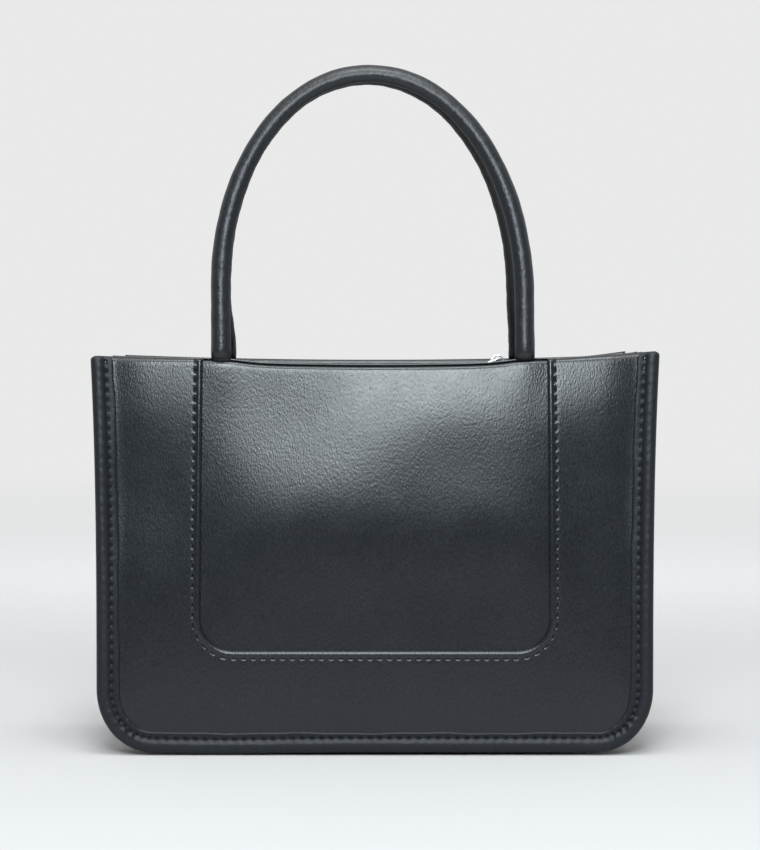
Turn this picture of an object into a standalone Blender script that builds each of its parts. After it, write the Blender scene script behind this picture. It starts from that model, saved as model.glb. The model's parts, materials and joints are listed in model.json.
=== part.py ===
"""A small structured tote bag with two rolled handles and a zip, in metres, +Z up.

The photographed face looks along -Y. The origin is on the ground, under the middle of the bag.
"""

import math

import bmesh
import bpy
from mathutils import Vector

# Outline of the body
TOP_WIDTH = 0.2700
BASE_WIDTH = 0.2612
FLARE_POWER = 3.0
BAG_HEIGHT = 0.1871
MOUTH_SAG = 0.0047
CORNER_RUN = 0.0280
CORNER_RISE = 0.0310

# Depth of the body from face to face
BASE_DEPTH = 0.1050
MOUTH_DEPTH = 0.0680
TAPER_POWER = 2.0

# Sheets and the gap between neighbours
CLEARANCE = 0.0003
LEATHER = 0.0012
BOARD = 0.0016
FACING = 0.0010
LINING = 0.0005

# Binding round the seam of each face
BINDING_WIDTH = 0.0107
BINDING_ROLL = 0.0009
BINDING_BACK_WIDTH = 0.0079
BINDING_EDGE_RADIUS = 0.0014

# Window in the surround panel that shows the centre panel
WINDOW_WIDTH = 0.1672
WINDOW_BOTTOM = 0.0470
WINDOW_RADIUS = 0.0160
WINDOW_LAP = 0.0100

# Gusset, lining and pocket
GUSSET_INSET = 0.0085
GUSSET_FOLD = 0.0100
GUSSET_FOLD_POWER = 2.0
FACING_DEPTH = 0.0350
GUSSET_LINING_DROP = 0.0120
POCKET_WIDTH = 0.1200
POCKET_BOTTOM = 0.0450
POCKET_TOP = 0.1250
POCKET_RADIUS = 0.0080
BASE_RADIUS = 0.0080

# Handles
HANDLE_DIAMETER = 0.0095
HANDLE_COVER_WALL = 0.0006
HANDLE_SEAM_GAP = 0.0005
HANDLE_INSET = 0.0110
HANDLE_MIDDLE_X = -0.0014
HANDLE_SKEW = -0.0013
HANDLE_RISE = 0.1362
HANDLE_STRAIGHT = 0.0275
HANDLE_ARCH_POWER = 2.04
HANDLE_LIFT = 0.0015
TAB_WIDTH = 0.0130
TAB_DEPTH = 0.0300
TAB_RADIUS = 0.0030

# Zip
ZIP_DROP = 0.0060
ZIP_PANEL_LENGTH = 0.1800
ZIP_FACING = 0.0008
ZIP_FACING_LEG = 0.0090
ZIP_WINDOW = 0.0190
TAPE = 0.0005
TAPE_WIDTH = 0.0090
TOOTH_PITCH = 0.0032
TOOTH_REACH = 0.0009
TOOTH_CHAMFER = 0.0003
TOOTH_HEIGHT = 0.0024
SPINE_INNER = 0.0022
SPINE_OUTER = 0.0032
CHAIN_LEFT = -0.0850
STOP_LENGTH = 0.0016

# Slider and pull
SLIDER_MIDDLE_X = 0.0590
SLIDER_LENGTH = 0.0096
SLIDER_WIDTH = 0.0098
SLIDER_NECK_WIDTH = 0.0084
SLIDER_PLATE = 0.0010
POST_LENGTH = 0.0024
POST_WIDTH = 0.0022
POST_END_GAP = 0.0007
CROWN_WIDTH = 0.0019
CROWN_WALL = 0.0010
CROWN_HEIGHT = 0.0053
CROWN_LENGTH = 0.0078
PULL_THICKNESS = 0.0012
PULL_BAR = 0.0014
PULL_ARM_WIDTH = 0.0012
PULL_EYE_LENGTH = 0.0052
PULL_LENGTH = 0.0200
PULL_TIP_WIDTH = 0.0062
PULL_DROP = 0.0033
PULL_HOLE = 0.0024
PULL_CRANK = 0.0028
PULL_CRANK_SHARE = 0.55
PULL_AHEAD = 0.0010

# Fineness of the curves
BEND_LEVELS = 10
CORNER_STEPS = 6
ROUND_STEPS = 5
MOUTH_STEPS = 12
SIDE_MOUTH_STEPS = 3
TUBE_SIDES = 14
ARCH_STEPS = 22

# Depths of the layers behind the outer face
CENTER_AT = LEATHER + CLEARANCE
BOARD_AT = CENTER_AT + LEATHER + CLEARANCE
FACING_AT = BOARD_AT + BOARD + CLEARANCE
INNER_AT = FACING_AT + FACING + CLEARANCE
POCKET_AT = FACING_AT + LINING + CLEARANCE

# The handles stand inside the window
HANDLE_SPACING = WINDOW_WIDTH - 2 * HANDLE_INSET

# Insets from the edge of the binding
FLANGE_EDGE = LEATHER + CLEARANCE
GUSSET_INNER = GUSSET_INSET + LEATHER
FLANGE_BACK = CENTER_AT + LEATHER
FOLD_SLOPE = GUSSET_FOLD / (MOUTH_DEPTH / 2 - FLANGE_BACK)
BOARD_EDGE = GUSSET_INNER + CLEARANCE + FOLD_SLOPE * (FACING_AT - FLANGE_BACK)
INNER_EDGE = GUSSET_INNER + CLEARANCE + FOLD_SLOPE * (INNER_AT - FLANGE_BACK)
BASE_BOARD_AT = GUSSET_INNER + CLEARANCE
LINING_EDGE = BASE_BOARD_AT + BOARD + CLEARANCE

# Heights of the zip's layers
ZIP_TOP = BAG_HEIGHT - ZIP_DROP
TAPE_TOP = ZIP_TOP - ZIP_FACING - CLEARANCE
TAPE_BOTTOM = TAPE_TOP - TAPE
TOOTH_MIDDLE = (TAPE_TOP + TAPE_BOTTOM) / 2
TOOTH_TOP = TOOTH_MIDDLE + TOOTH_HEIGHT / 2
TOOTH_BOTTOM = TOOTH_MIDDLE - TOOTH_HEIGHT / 2
TAPE_INNER = SPINE_OUTER + CLEARANCE
SLIDER_TOP = TOOTH_TOP + CLEARANCE + SLIDER_PLATE
SLIDER_RIGHT = SLIDER_MIDDLE_X + SLIDER_LENGTH / 2
POST_RIGHT = SLIDER_RIGHT - POST_END_GAP
POST_LEFT = POST_RIGHT - POST_LENGTH
STOP_LEFT = SLIDER_RIGHT + CLEARANCE
PULL_CORNER = math.hypot(PULL_BAR, PULL_THICKNESS) / 2
PULL_PIVOT_Z = SLIDER_TOP + CROWN_HEIGHT - CROWN_WALL - CLEARANCE - PULL_CORNER
PULL_PIVOT_X = SLIDER_MIDDLE_X + PULL_AHEAD

LEVELS = [BAG_HEIGHT * k / BEND_LEVELS for k in range(BEND_LEVELS + 1)]
FRONT = -1
BACK = 1

FINISHES = {
    "leather": ((0.022, 0.024, 0.027), 0.38, 0.0),
    "leather_edge": ((0.017, 0.018, 0.020), 0.42, 0.0),
    "board": ((0.300, 0.270, 0.220), 0.85, 0.0),
    "lining": ((0.030, 0.031, 0.034), 0.80, 0.0),
    "cord": ((0.520, 0.500, 0.460), 0.85, 0.0),
    "tape": ((0.018, 0.018, 0.020), 0.75, 0.0),
    "nickel": ((0.640, 0.650, 0.660), 0.25, 1.0),
}


def clear_scene():
    for old in list(bpy.data.objects):
        bpy.data.objects.remove(old, do_unlink=True)


def finish_material(finish):
    found = bpy.data.materials.get(finish)
    if found:
        return found
    colour, roughness, metallic = FINISHES[finish]
    made = bpy.data.materials.new(finish)
    made.use_nodes = True
    shader = made.node_tree.nodes["Principled BSDF"]
    shader.inputs["Base Color"].default_value = (*colour, 1.0)
    shader.inputs["Roughness"].default_value = roughness
    shader.inputs["Metallic"].default_value = metallic
    return made


def add_object(name, bm, finish, smooth_degrees=None):
    bmesh.ops.recalc_face_normals(bm, faces=bm.faces[:])
    if bm.calc_volume(signed=True) < 0:
        bmesh.ops.reverse_faces(bm, faces=bm.faces[:])
    mesh = bpy.data.meshes.new(name)
    bm.to_mesh(mesh)
    bm.free()
    if smooth_degrees:
        mesh.shade_smooth()
        mesh.set_sharp_from_angle(angle=math.radians(smooth_degrees))
    mesh.materials.append(finish_material(finish))
    made = bpy.data.objects.new(name, mesh)
    bpy.context.scene.collection.objects.link(made)
    return made


# Shape of the body

def half_width(z):
    flare = (TOP_WIDTH - BASE_WIDTH) / 2
    return BASE_WIDTH / 2 + flare * (max(z, 0.0) / BAG_HEIGHT) ** FLARE_POWER


def smooth_half_depth(z):
    taper = (BASE_DEPTH - MOUTH_DEPTH) / 2
    return BASE_DEPTH / 2 - taper * (z / BAG_HEIGHT) ** TAPER_POWER


def half_depth(z):
    """Half the depth at a height, straight between the bend levels so that flat facets nest."""
    step = BAG_HEIGHT / BEND_LEVELS
    k = min(max(int(z / step), 0), BEND_LEVELS - 1)
    low = smooth_half_depth(k * step)
    high = smooth_half_depth((k + 1) * step)
    return low + (high - low) * (z - k * step) / step


def mouth_height(x):
    across = min(abs(x) / (TOP_WIDTH / 2), 1.0)
    return BAG_HEIGHT - MOUTH_SAG * (1.0 - across * across)


def outline_path(inset, top=BAG_HEIGHT):
    """Points down the left side, along the base and up the right side, as (x, z)."""
    heights = [top] + [z for z in reversed(LEVELS) if CORNER_RISE < z < top] + [CORNER_RISE]
    right = [(half_width(z) - inset, z) for z in heights]
    middle_x = half_width(CORNER_RISE) - CORNER_RUN
    for k in range(1, CORNER_STEPS + 1):
        turn = math.pi / 2 * k / CORNER_STEPS
        x = middle_x + (CORNER_RUN - inset) * math.cos(turn)
        z = CORNER_RISE - (CORNER_RISE - inset) * math.sin(turn)
        right.append((x, z))
    left = [(-x, z) for x, z in right]
    return left + right[::-1]


def mouth_points(x_from, x_to, drop, steps):
    points = []
    for k in range(steps + 1):
        x = x_from + (x_to - x_from) * k / steps
        points.append((x, mouth_height(x) - drop))
    return points


def window_path(half, bottom, radius, drop):
    """The U of a window or a patch, from its right top round to its left top."""
    right = [(half, mouth_height(half) - drop)]
    for k in range(ROUND_STEPS + 1):
        turn = math.pi / 2 * k / ROUND_STEPS
        x = half - radius + radius * math.cos(turn)
        z = bottom + radius - radius * math.sin(turn)
        right.append((x, z))
    return right + [(-x, z) for x, z in reversed(right)]


def bent_plate(name, side, outline, depth, thickness, finish):
    """A flat outline given a thickness, creased at each level and laid behind the face."""
    bm = bmesh.new()
    face = bm.faces.new([bm.verts.new((x, 0.0, z)) for x, z in outline])
    grown = bmesh.ops.extrude_face_region(bm, geom=[face])
    moved = [v for v in grown["geom"] if isinstance(v, bmesh.types.BMVert)]
    bmesh.ops.translate(bm, vec=(0.0, thickness, 0.0), verts=moved)
    for level in LEVELS[1:-1]:
        everything = bm.verts[:] + bm.edges[:] + bm.faces[:]
        bmesh.ops.bisect_plane(
            bm, geom=everything, dist=1e-7, plane_co=(0.0, 0.0, level), plane_no=(0.0, 0.0, 1.0)
        )
    for v in bm.verts:
        v.co.y = side * (half_depth(v.co.z) - depth - v.co.y)
    return add_object(name, bm, finish)


def loft(name, rings, finish, smooth_degrees=None):
    """A solid through a row of closed rings, grown by extruding the last one."""
    bm = bmesh.new()
    cap = bm.faces.new([bm.verts.new(p) for p in rings[0]])
    for number, ring in enumerate(rings[1:]):
        grown = bmesh.ops.extrude_face_region(bm, geom=[cap])
        new_cap = [f for f in grown["geom"] if isinstance(f, bmesh.types.BMFace)][0]
        if number:
            bmesh.ops.delete(bm, geom=[cap], context="FACES_ONLY")
        cap = new_cap
        for v, place in zip(cap.verts, ring):
            v.co = place
    return add_object(name, bm, finish, smooth_degrees)


def prism(name, outline, axis, low, high, finish):
    """A 2-D outline extruded along one axis. The outline gives the other two in X, Y, Z order."""
    def place(a, b, along):
        values = [a, b]
        values.insert("XYZ".index(axis), along)
        return values

    rings = [[place(a, b, along) for a, b in outline] for along in (low, high)]
    return loft(name, rings, finish)


def use_boolean(target, helper, operation):
    helper.hide_render = True
    helper.display_type = "WIRE"
    modifier = target.modifiers.new(f"{operation.lower()}_{helper.name}", "BOOLEAN")
    modifier.operation = operation
    modifier.object = helper
    modifier.solver = "EXACT"


def rectangle(x_low, x_high, y_low, y_high):
    return [(x_low, y_low), (x_high, y_low), (x_high, y_high), (x_low, y_high)]


# Face panels, boards, facings and linings

def surround_outline():
    outer = outline_path(FLANGE_EDGE)[1:-1]
    edge = half_width(BAG_HEIGHT) - FLANGE_EDGE
    half = WINDOW_WIDTH / 2
    right_top = mouth_points(edge, half, 0.0, SIDE_MOUTH_STEPS)
    left_top = mouth_points(-half, -edge, 0.0, SIDE_MOUTH_STEPS)
    window = window_path(half, WINDOW_BOTTOM, WINDOW_RADIUS, 0.0)[1:-1]
    return outer + right_top + window + left_top


def center_outline():
    half = WINDOW_WIDTH / 2 + WINDOW_LAP
    bottom = WINDOW_BOTTOM - WINDOW_LAP
    lower = window_path(half, bottom, WINDOW_RADIUS + WINDOW_LAP, CLEARANCE)
    return lower + mouth_points(-half, half, CLEARANCE, MOUTH_STEPS)[1:-1]


def handle_x(hand):
    return HANDLE_MIDDLE_X + hand * HANDLE_SPACING / 2


def tab_bottom(x):
    return mouth_height(x) - TAB_DEPTH


def board_outline():
    """The board stops short of the mouth and is notched where the handle tabs pass."""
    outer = outline_path(BOARD_EDGE)[1:-1]
    edge = half_width(BAG_HEIGHT) - BOARD_EDGE
    drop = 2 * CLEARANCE
    half = TAB_WIDTH / 2 + CLEARANCE
    top = []
    x_from = edge
    for hand in (1, -1):
        x = handle_x(hand)
        top += mouth_points(x_from, x + half, drop, SIDE_MOUTH_STEPS)
        top += [(x + half, tab_bottom(x) - CLEARANCE), (x - half, tab_bottom(x) - CLEARANCE)]
        x_from = x - half
    top += mouth_points(x_from, -edge, drop, SIDE_MOUTH_STEPS)
    return outer + top


def facing_outline():
    bottom = BAG_HEIGHT - FACING_DEPTH
    heights = [bottom] + [z for z in LEVELS if bottom < z < BAG_HEIGHT - MOUTH_SAG]
    right = [(half_width(z) - INNER_EDGE, z) for z in heights]
    edge = half_width(BAG_HEIGHT) - INNER_EDGE
    top = mouth_points(edge, -edge, CLEARANCE, MOUTH_STEPS)
    return right + top + [(-x, z) for x, z in reversed(right)]


def lining_outline():
    top = BAG_HEIGHT - FACING_DEPTH - CLEARANCE
    return outline_path(INNER_EDGE, top)


def pocket_outline():
    half = POCKET_WIDTH / 2
    lower = window_path(half, POCKET_BOTTOM, POCKET_RADIUS, 0.0)[1:-1]
    return [(half, POCKET_TOP)] + lower + [(-half, POCKET_TOP)]


def build_face(side, word):
    bent_plate(f"{word}_surround_panel", side, surround_outline(), 0.0, LEATHER, "leather")
    bent_plate(f"{word}_center_panel", side, center_outline(), CENTER_AT, LEATHER, "leather")
    bent_plate(f"{word}_stiffener_board", side, board_outline(), BOARD_AT, BOARD, "board")
    bent_plate(f"{word}_top_facing", side, facing_outline(), FACING_AT, FACING, "leather")
    bent_plate(f"{word}_lining", side, lining_outline(), FACING_AT, LINING, "lining")
    build_binding(side, word)


# Binding, gusset and base

def binding_profile():
    """Section of the binding as (inset, depth): a channel that holds the panel and the flange."""
    front = -CLEARANCE - LEATHER
    back_inner = FLANGE_BACK + CLEARANCE
    back = back_inner + LEATHER
    r = BINDING_EDGE_RADIUS
    lip = BINDING_ROLL / 2
    return [
        (BINDING_WIDTH, -CLEARANCE),
        (BINDING_WIDTH, front),
        (BINDING_WIDTH * 0.64, front - lip),
        (BINDING_WIDTH * 0.38, front - BINDING_ROLL),
        (r, front - lip),
        (r * 0.3, front + r * 0.7),
        (0.0, front + r * 1.6),
        (0.0, back - r),
        (r * 0.3, back - r * 0.3),
        (r, back),
        (BINDING_BACK_WIDTH, back),
        (BINDING_BACK_WIDTH, back_inner),
        (LEATHER, back_inner),
        (LEATHER, -CLEARANCE),
    ]


def build_binding(side, word):
    columns = []
    for inset, depth in binding_profile():
        path = outline_path(inset)
        columns.append([(x, side * (half_depth(z) - depth), z) for x, z in path])
    rings = [list(ring) for ring in zip(*columns)]
    loft(f"{word}_binding", rings, "leather_edge", 50)


def folded(x, z, across):
    """How far the gusset's fold draws a point in. across is 1 at a face and 0 midway."""
    fold = GUSSET_FOLD * (z / BAG_HEIGHT) ** GUSSET_FOLD_POWER * (1.0 - abs(across))
    return x - math.copysign(fold, x)


def wall_column(inset, across, depth, top=BAG_HEIGHT):
    path = outline_path(inset, top)
    return [(folded(x, z, across), across * (half_depth(z) - depth), z) for x, z in path]


def flange_column(inset, side, depth):
    return [(x, side * (half_depth(z) - depth), z) for x, z in outline_path(inset)]


def build_gusset():
    outer_depth = FLANGE_BACK
    middle = [-0.5, 0.0, 0.5]
    columns = [flange_column(FLANGE_EDGE, FRONT, CENTER_AT)]
    columns.append(flange_column(FLANGE_EDGE, FRONT, outer_depth))
    columns.append(flange_column(GUSSET_INSET, FRONT, outer_depth))
    columns += [wall_column(GUSSET_INSET, across, outer_depth) for across in middle]
    columns.append(flange_column(GUSSET_INSET, BACK, outer_depth))
    columns.append(flange_column(FLANGE_EDGE, BACK, outer_depth))
    columns.append(flange_column(FLANGE_EDGE, BACK, CENTER_AT))
    columns.append(flange_column(GUSSET_INNER, BACK, CENTER_AT))
    columns += [wall_column(GUSSET_INNER, across, outer_depth) for across in reversed(middle)]
    columns.append(flange_column(GUSSET_INNER, FRONT, CENTER_AT))
    loft("gusset", [list(ring) for ring in zip(*columns)], "leather")


def build_gusset_lining():
    top = BAG_HEIGHT - GUSSET_LINING_DROP
    middle = [-1.0, -0.5, 0.0, 0.5, 1.0]
    columns = [wall_column(LINING_EDGE, across, INNER_AT, top) for across in middle]
    inner = LINING_EDGE + LINING
    columns += [wall_column(inner, across, INNER_AT, top) for across in reversed(middle)]
    loft("gusset_lining", [list(ring) for ring in zip(*columns)], "lining")


def build_base_board():
    half_length = half_width(CORNER_RISE) - CORNER_RUN
    half_across = half_depth(LINING_EDGE) - INNER_AT
    bm = bmesh.new()
    bmesh.ops.create_cube(bm, size=2.0)
    bmesh.ops.scale(bm, vec=(half_length, half_across, BOARD / 2), verts=bm.verts[:])
    bmesh.ops.translate(bm, vec=(0.0, 0.0, BASE_BOARD_AT + BOARD / 2), verts=bm.verts[:])
    upright = [e for e in bm.edges if abs(e.verts[0].co.z - e.verts[1].co.z) > BOARD / 2]
    bmesh.ops.bevel(
        bm, geom=upright, offset=BASE_RADIUS, affect="EDGES", segments=3, profile=0.5, material=-1
    )
    add_object("base_board", bm, "board")


# Handles

def pivot_height():
    edge = max(mouth_height(handle_x(hand)) for hand in (1, -1))
    return edge + HANDLE_LIFT + HANDLE_DIAMETER / 2


def pivot_depth():
    """Distance of the handle's axis from the bag's middle plane: over the middle of its tabs."""
    return half_depth(mouth_height(handle_x(1))) - BOARD_AT - BOARD / 2


def handle_lean():
    reach = pivot_depth() - HANDLE_DIAMETER / 2 - CLEARANCE / 2
    return math.asin(reach / HANDLE_RISE)


def handle_line():
    """The handle's centre line in its own plane, as (across, up), from the left pivot to the right."""
    half = HANDLE_SPACING / 2
    rise = HANDLE_RISE - HANDLE_STRAIGHT
    power = 2.0 / HANDLE_ARCH_POWER
    points = []
    for k in range(ARCH_STEPS + 1):
        turn = math.pi * k / ARCH_STEPS
        across = -math.copysign(abs(math.cos(turn)) ** power, math.cos(turn)) * half
        up = abs(math.sin(turn)) ** power
        points.append((HANDLE_MIDDLE_X + HANDLE_SKEW * up + across, HANDLE_STRAIGHT + rise * up))
    return points


def tube_rings(line, sections):
    """Rings round a planar line. sections gives each station's points as (outward, sideways)."""
    rings = []
    for k, (x, z) in enumerate(line):
        before = line[max(k - 1, 0)]
        after = line[min(k + 1, len(line) - 1)]
        along = Vector((after[0] - before[0], after[1] - before[1])).normalized()
        outward = Vector((-along[1], along[0]))
        ring = [(x + a * outward[0], b, z + a * outward[1]) for a, b in sections[k]]
        rings.append(ring)
    return rings


def round_section(radius, start=0.0, end=2 * math.pi, closed=True):
    count = TUBE_SIDES if closed else TUBE_SIDES + 1
    points = []
    for k in range(count):
        turn = start + (end - start) * k / TUBE_SIDES
        points.append((radius * math.cos(turn), radius * math.sin(turn)))
    return points


def cover_section():
    """A ring open along the underside of the handle, where the cover's edges meet in a seam."""
    outer = HANDLE_DIAMETER / 2
    inner = outer - HANDLE_COVER_WALL
    gap = HANDLE_SEAM_GAP / 2 / outer
    ring = round_section(outer, gap - math.pi, math.pi - gap, closed=False)
    inside = round_section(inner, gap - math.pi, math.pi - gap, closed=False)
    return ring + inside[::-1]


def place_handle(made, side):
    made.location = (0.0, side * pivot_depth(), pivot_height())
    made.rotation_euler = (side * handle_lean(), 0.0, 0.0)


def build_handle(side, word):
    radius = HANDLE_DIAMETER / 2
    core = radius - HANDLE_COVER_WALL - CLEARANCE
    start = math.sqrt(radius * radius - core * core)
    arch = handle_line()
    left = (arch[0][0], 0.0)
    right = (arch[-1][0], 0.0)

    line = [(left[0], start)] + arch + [(right[0], start)]
    sections = [cover_section()] * len(line)
    cover = loft(f"{word}_handle_cover", tube_rings(line, sections), "leather", 40)
    place_handle(cover, side)

    ball = []
    for k in range(1, ROUND_STEPS + 2):
        turn = (math.pi - math.asin(core / radius)) * k / (ROUND_STEPS + 1)
        ball.append((-radius * math.cos(turn), radius * math.sin(turn)))
    line = [(left[0], up) for up, _ in ball] + arch + [(right[0], up) for up, _ in reversed(ball)]
    widths = [wide for _, wide in ball] + [core] * len(arch) + [wide for _, wide in reversed(ball)]
    sections = [round_section(wide) for wide in widths]
    filler = loft(f"{word}_handle_core", tube_rings(line, sections), "cord", 40)
    place_handle(filler, side)


def build_tab(side, hand, name):
    x = handle_x(hand)
    half = TAB_WIDTH / 2
    top = pivot_height() - HANDLE_DIAMETER / 2 - CLEARANCE
    bottom = tab_bottom(x)
    lower = []
    for k in range(ROUND_STEPS + 1):
        turn = math.pi / 2 * k / ROUND_STEPS
        across = half - TAB_RADIUS + TAB_RADIUS * math.cos(turn)
        lower.append((across, bottom + TAB_RADIUS - TAB_RADIUS * math.sin(turn)))
    right = [(x + across, z) for across, z in lower]
    left = [(x - across, z) for across, z in reversed(lower)]
    outline = [(x + half, top)] + right + left + [(x - half, top)]
    bent_plate(name, side, outline, BOARD_AT, BOARD, "leather")


# Zip

def build_zip_facing(side, word):
    """An angle: one leg on the top facing, the other level, towards the teeth."""
    low = ZIP_TOP - ZIP_FACING_LEG
    under = ZIP_TOP - ZIP_FACING
    section = [
        (half_depth(low) - INNER_AT, low),
        (half_depth(ZIP_TOP) - INNER_AT, ZIP_TOP),
        (ZIP_WINDOW / 2, ZIP_TOP),
        (ZIP_WINDOW / 2, under),
        (half_depth(under) - INNER_AT - ZIP_FACING, under),
        (half_depth(low) - INNER_AT - ZIP_FACING, low),
    ]
    outline = [(side * y, z) for y, z in section]
    half = ZIP_PANEL_LENGTH / 2
    prism(f"zip_facing_{word}", outline, "X", -half, half, "leather")


def build_tape(side, word):
    outline = rectangle(TAPE_INNER, TAPE_INNER + TAPE_WIDTH, TAPE_BOTTOM, TAPE_TOP)
    outline = [(side * y, z) for y, z in outline]
    half = ZIP_PANEL_LENGTH / 2
    prism(f"zip_tape_{word}", outline, "X", -half, half, "tape")


def build_teeth(side, word):
    """A row of teeth on one spine. The two rows mesh half a pitch apart."""
    tooth = TOOTH_PITCH / 2 - CLEARANCE
    shift = TOOTH_PITCH / 2 if side == BACK else 0.0
    tip = -TOOTH_REACH
    points = [(CHAIN_LEFT, SPINE_OUTER), (CHAIN_LEFT, SPINE_INNER)]
    x = CHAIN_LEFT + CLEARANCE + shift
    while x + tooth + TOOTH_PITCH / 2 < POST_LEFT:
        points += [
            (x, SPINE_INNER),
            (x, tip + TOOTH_CHAMFER),
            (x + TOOTH_CHAMFER, tip),
            (x + tooth - TOOTH_CHAMFER, tip),
            (x + tooth, tip + TOOTH_CHAMFER),
            (x + tooth, SPINE_INNER),
        ]
        x += TOOTH_PITCH
    points += [(SLIDER_RIGHT, SPINE_INNER), (SLIDER_RIGHT, SPINE_OUTER)]
    outline = [(x, side * y) for x, y in points]
    prism(f"zip_teeth_{word}", outline, "Z", TOOTH_BOTTOM, TOOTH_TOP, "nickel")


def build_stops():
    for side, word in ((FRONT, "front"), (BACK, "back")):
        outline = rectangle(STOP_LEFT, STOP_LEFT + STOP_LENGTH, CLEARANCE, SPINE_OUTER)
        outline = [(x, side * y) for x, y in outline]
        prism(f"zip_top_stop_{word}", outline, "Z", TOOTH_BOTTOM, TOOTH_TOP, "nickel")
    right = CHAIN_LEFT - CLEARANCE
    outline = rectangle(right - 2 * STOP_LENGTH, right, -SPINE_OUTER, SPINE_OUTER)
    prism("zip_bottom_stop", outline, "Z", TOOTH_BOTTOM, TOOTH_TOP, "nickel")


def build_slider():
    """Two plates held apart by a post, with side walls that leave a slot for each tape."""
    left = SLIDER_MIDDLE_X - SLIDER_LENGTH / 2
    neck = SLIDER_NECK_WIDTH / 2
    wide = SLIDER_WIDTH / 2
    shoulder = SLIDER_LENGTH / 4
    half_plan = [
        (left, neck - SLIDER_PLATE / 2),
        (left + SLIDER_PLATE, neck),
        (SLIDER_MIDDLE_X, neck),
        (SLIDER_MIDDLE_X + shoulder, wide),
        (SLIDER_RIGHT - SLIDER_PLATE, wide),
        (SLIDER_RIGHT, wide - SLIDER_PLATE),
    ]
    plan = half_plan + [(x, -y) for x, y in reversed(half_plan)]
    under = TOOTH_BOTTOM - CLEARANCE - SLIDER_PLATE
    body = prism("zip_slider", plan, "Z", under, SLIDER_TOP, "nickel")

    past = SLIDER_LENGTH
    channel = rectangle(-TAPE_INNER, TAPE_INNER, TOOTH_BOTTOM - CLEARANCE, TOOTH_TOP + CLEARANCE)
    channel_cut = prism("slider_channel", channel, "X", left - past, SLIDER_RIGHT + past, "nickel")
    slot = rectangle(-SLIDER_WIDTH, SLIDER_WIDTH, TAPE_BOTTOM - CLEARANCE, TAPE_TOP + CLEARANCE)
    slot_cut = prism("slider_tape_slot", slot, "X", left - past, SLIDER_RIGHT + past, "nickel")

    post_middle = (POST_LEFT + POST_RIGHT) / 2
    post_plan = [
        (POST_LEFT, 0.0),
        (post_middle, -POST_WIDTH / 2),
        (POST_RIGHT, -POST_WIDTH / 4),
        (POST_RIGHT, POST_WIDTH / 4),
        (post_middle, POST_WIDTH / 2),
    ]
    sunk = SLIDER_PLATE / 2
    post = prism("slider_post", post_plan, "Z", under + sunk, SLIDER_TOP - sunk, "nickel")

    half = CROWN_LENGTH / 2
    foot = SLIDER_TOP - sunk
    outer = [
        (-half, foot),
        (-half, SLIDER_TOP + CROWN_HEIGHT * 0.35),
        (-half * 0.2, SLIDER_TOP + CROWN_HEIGHT),
        (half * 0.6, SLIDER_TOP + CROWN_HEIGHT),
        (half, SLIDER_TOP + CROWN_HEIGHT * 0.6),
        (half, foot),
    ]
    inner_top = SLIDER_TOP + CROWN_HEIGHT - CROWN_WALL
    inner = [
        (half - CROWN_WALL, foot),
        (half - CROWN_WALL, SLIDER_TOP + CROWN_HEIGHT * 0.55),
        (half * 0.6 - CROWN_WALL * 0.2, inner_top),
        (-half * 0.2 + CROWN_WALL * 0.3, inner_top),
        (-half + CROWN_WALL, SLIDER_TOP + CROWN_HEIGHT * 0.3),
        (-half + CROWN_WALL, foot),
    ]
    arch = [(SLIDER_MIDDLE_X + x, z) for x, z in outer + inner]
    crown = prism("slider_crown", arch, "Y", -CROWN_WIDTH / 2, CROWN_WIDTH / 2, "nickel")

    use_boolean(body, channel_cut, "DIFFERENCE")
    use_boolean(body, slot_cut, "DIFFERENCE")
    use_boolean(body, post, "UNION")
    use_boolean(body, crown, "UNION")


def pull_drop(x):
    """How far the cranked pull lies below its pivot, x behind it."""
    start = PULL_EYE_LENGTH
    gentle = PULL_DROP * PULL_CRANK_SHARE
    if x > -start:
        return gentle * max(-x, 0.0) / start
    steep = min((-x - start) / PULL_CRANK, 1.0)
    return gentle + (PULL_DROP - gentle) * steep


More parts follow.
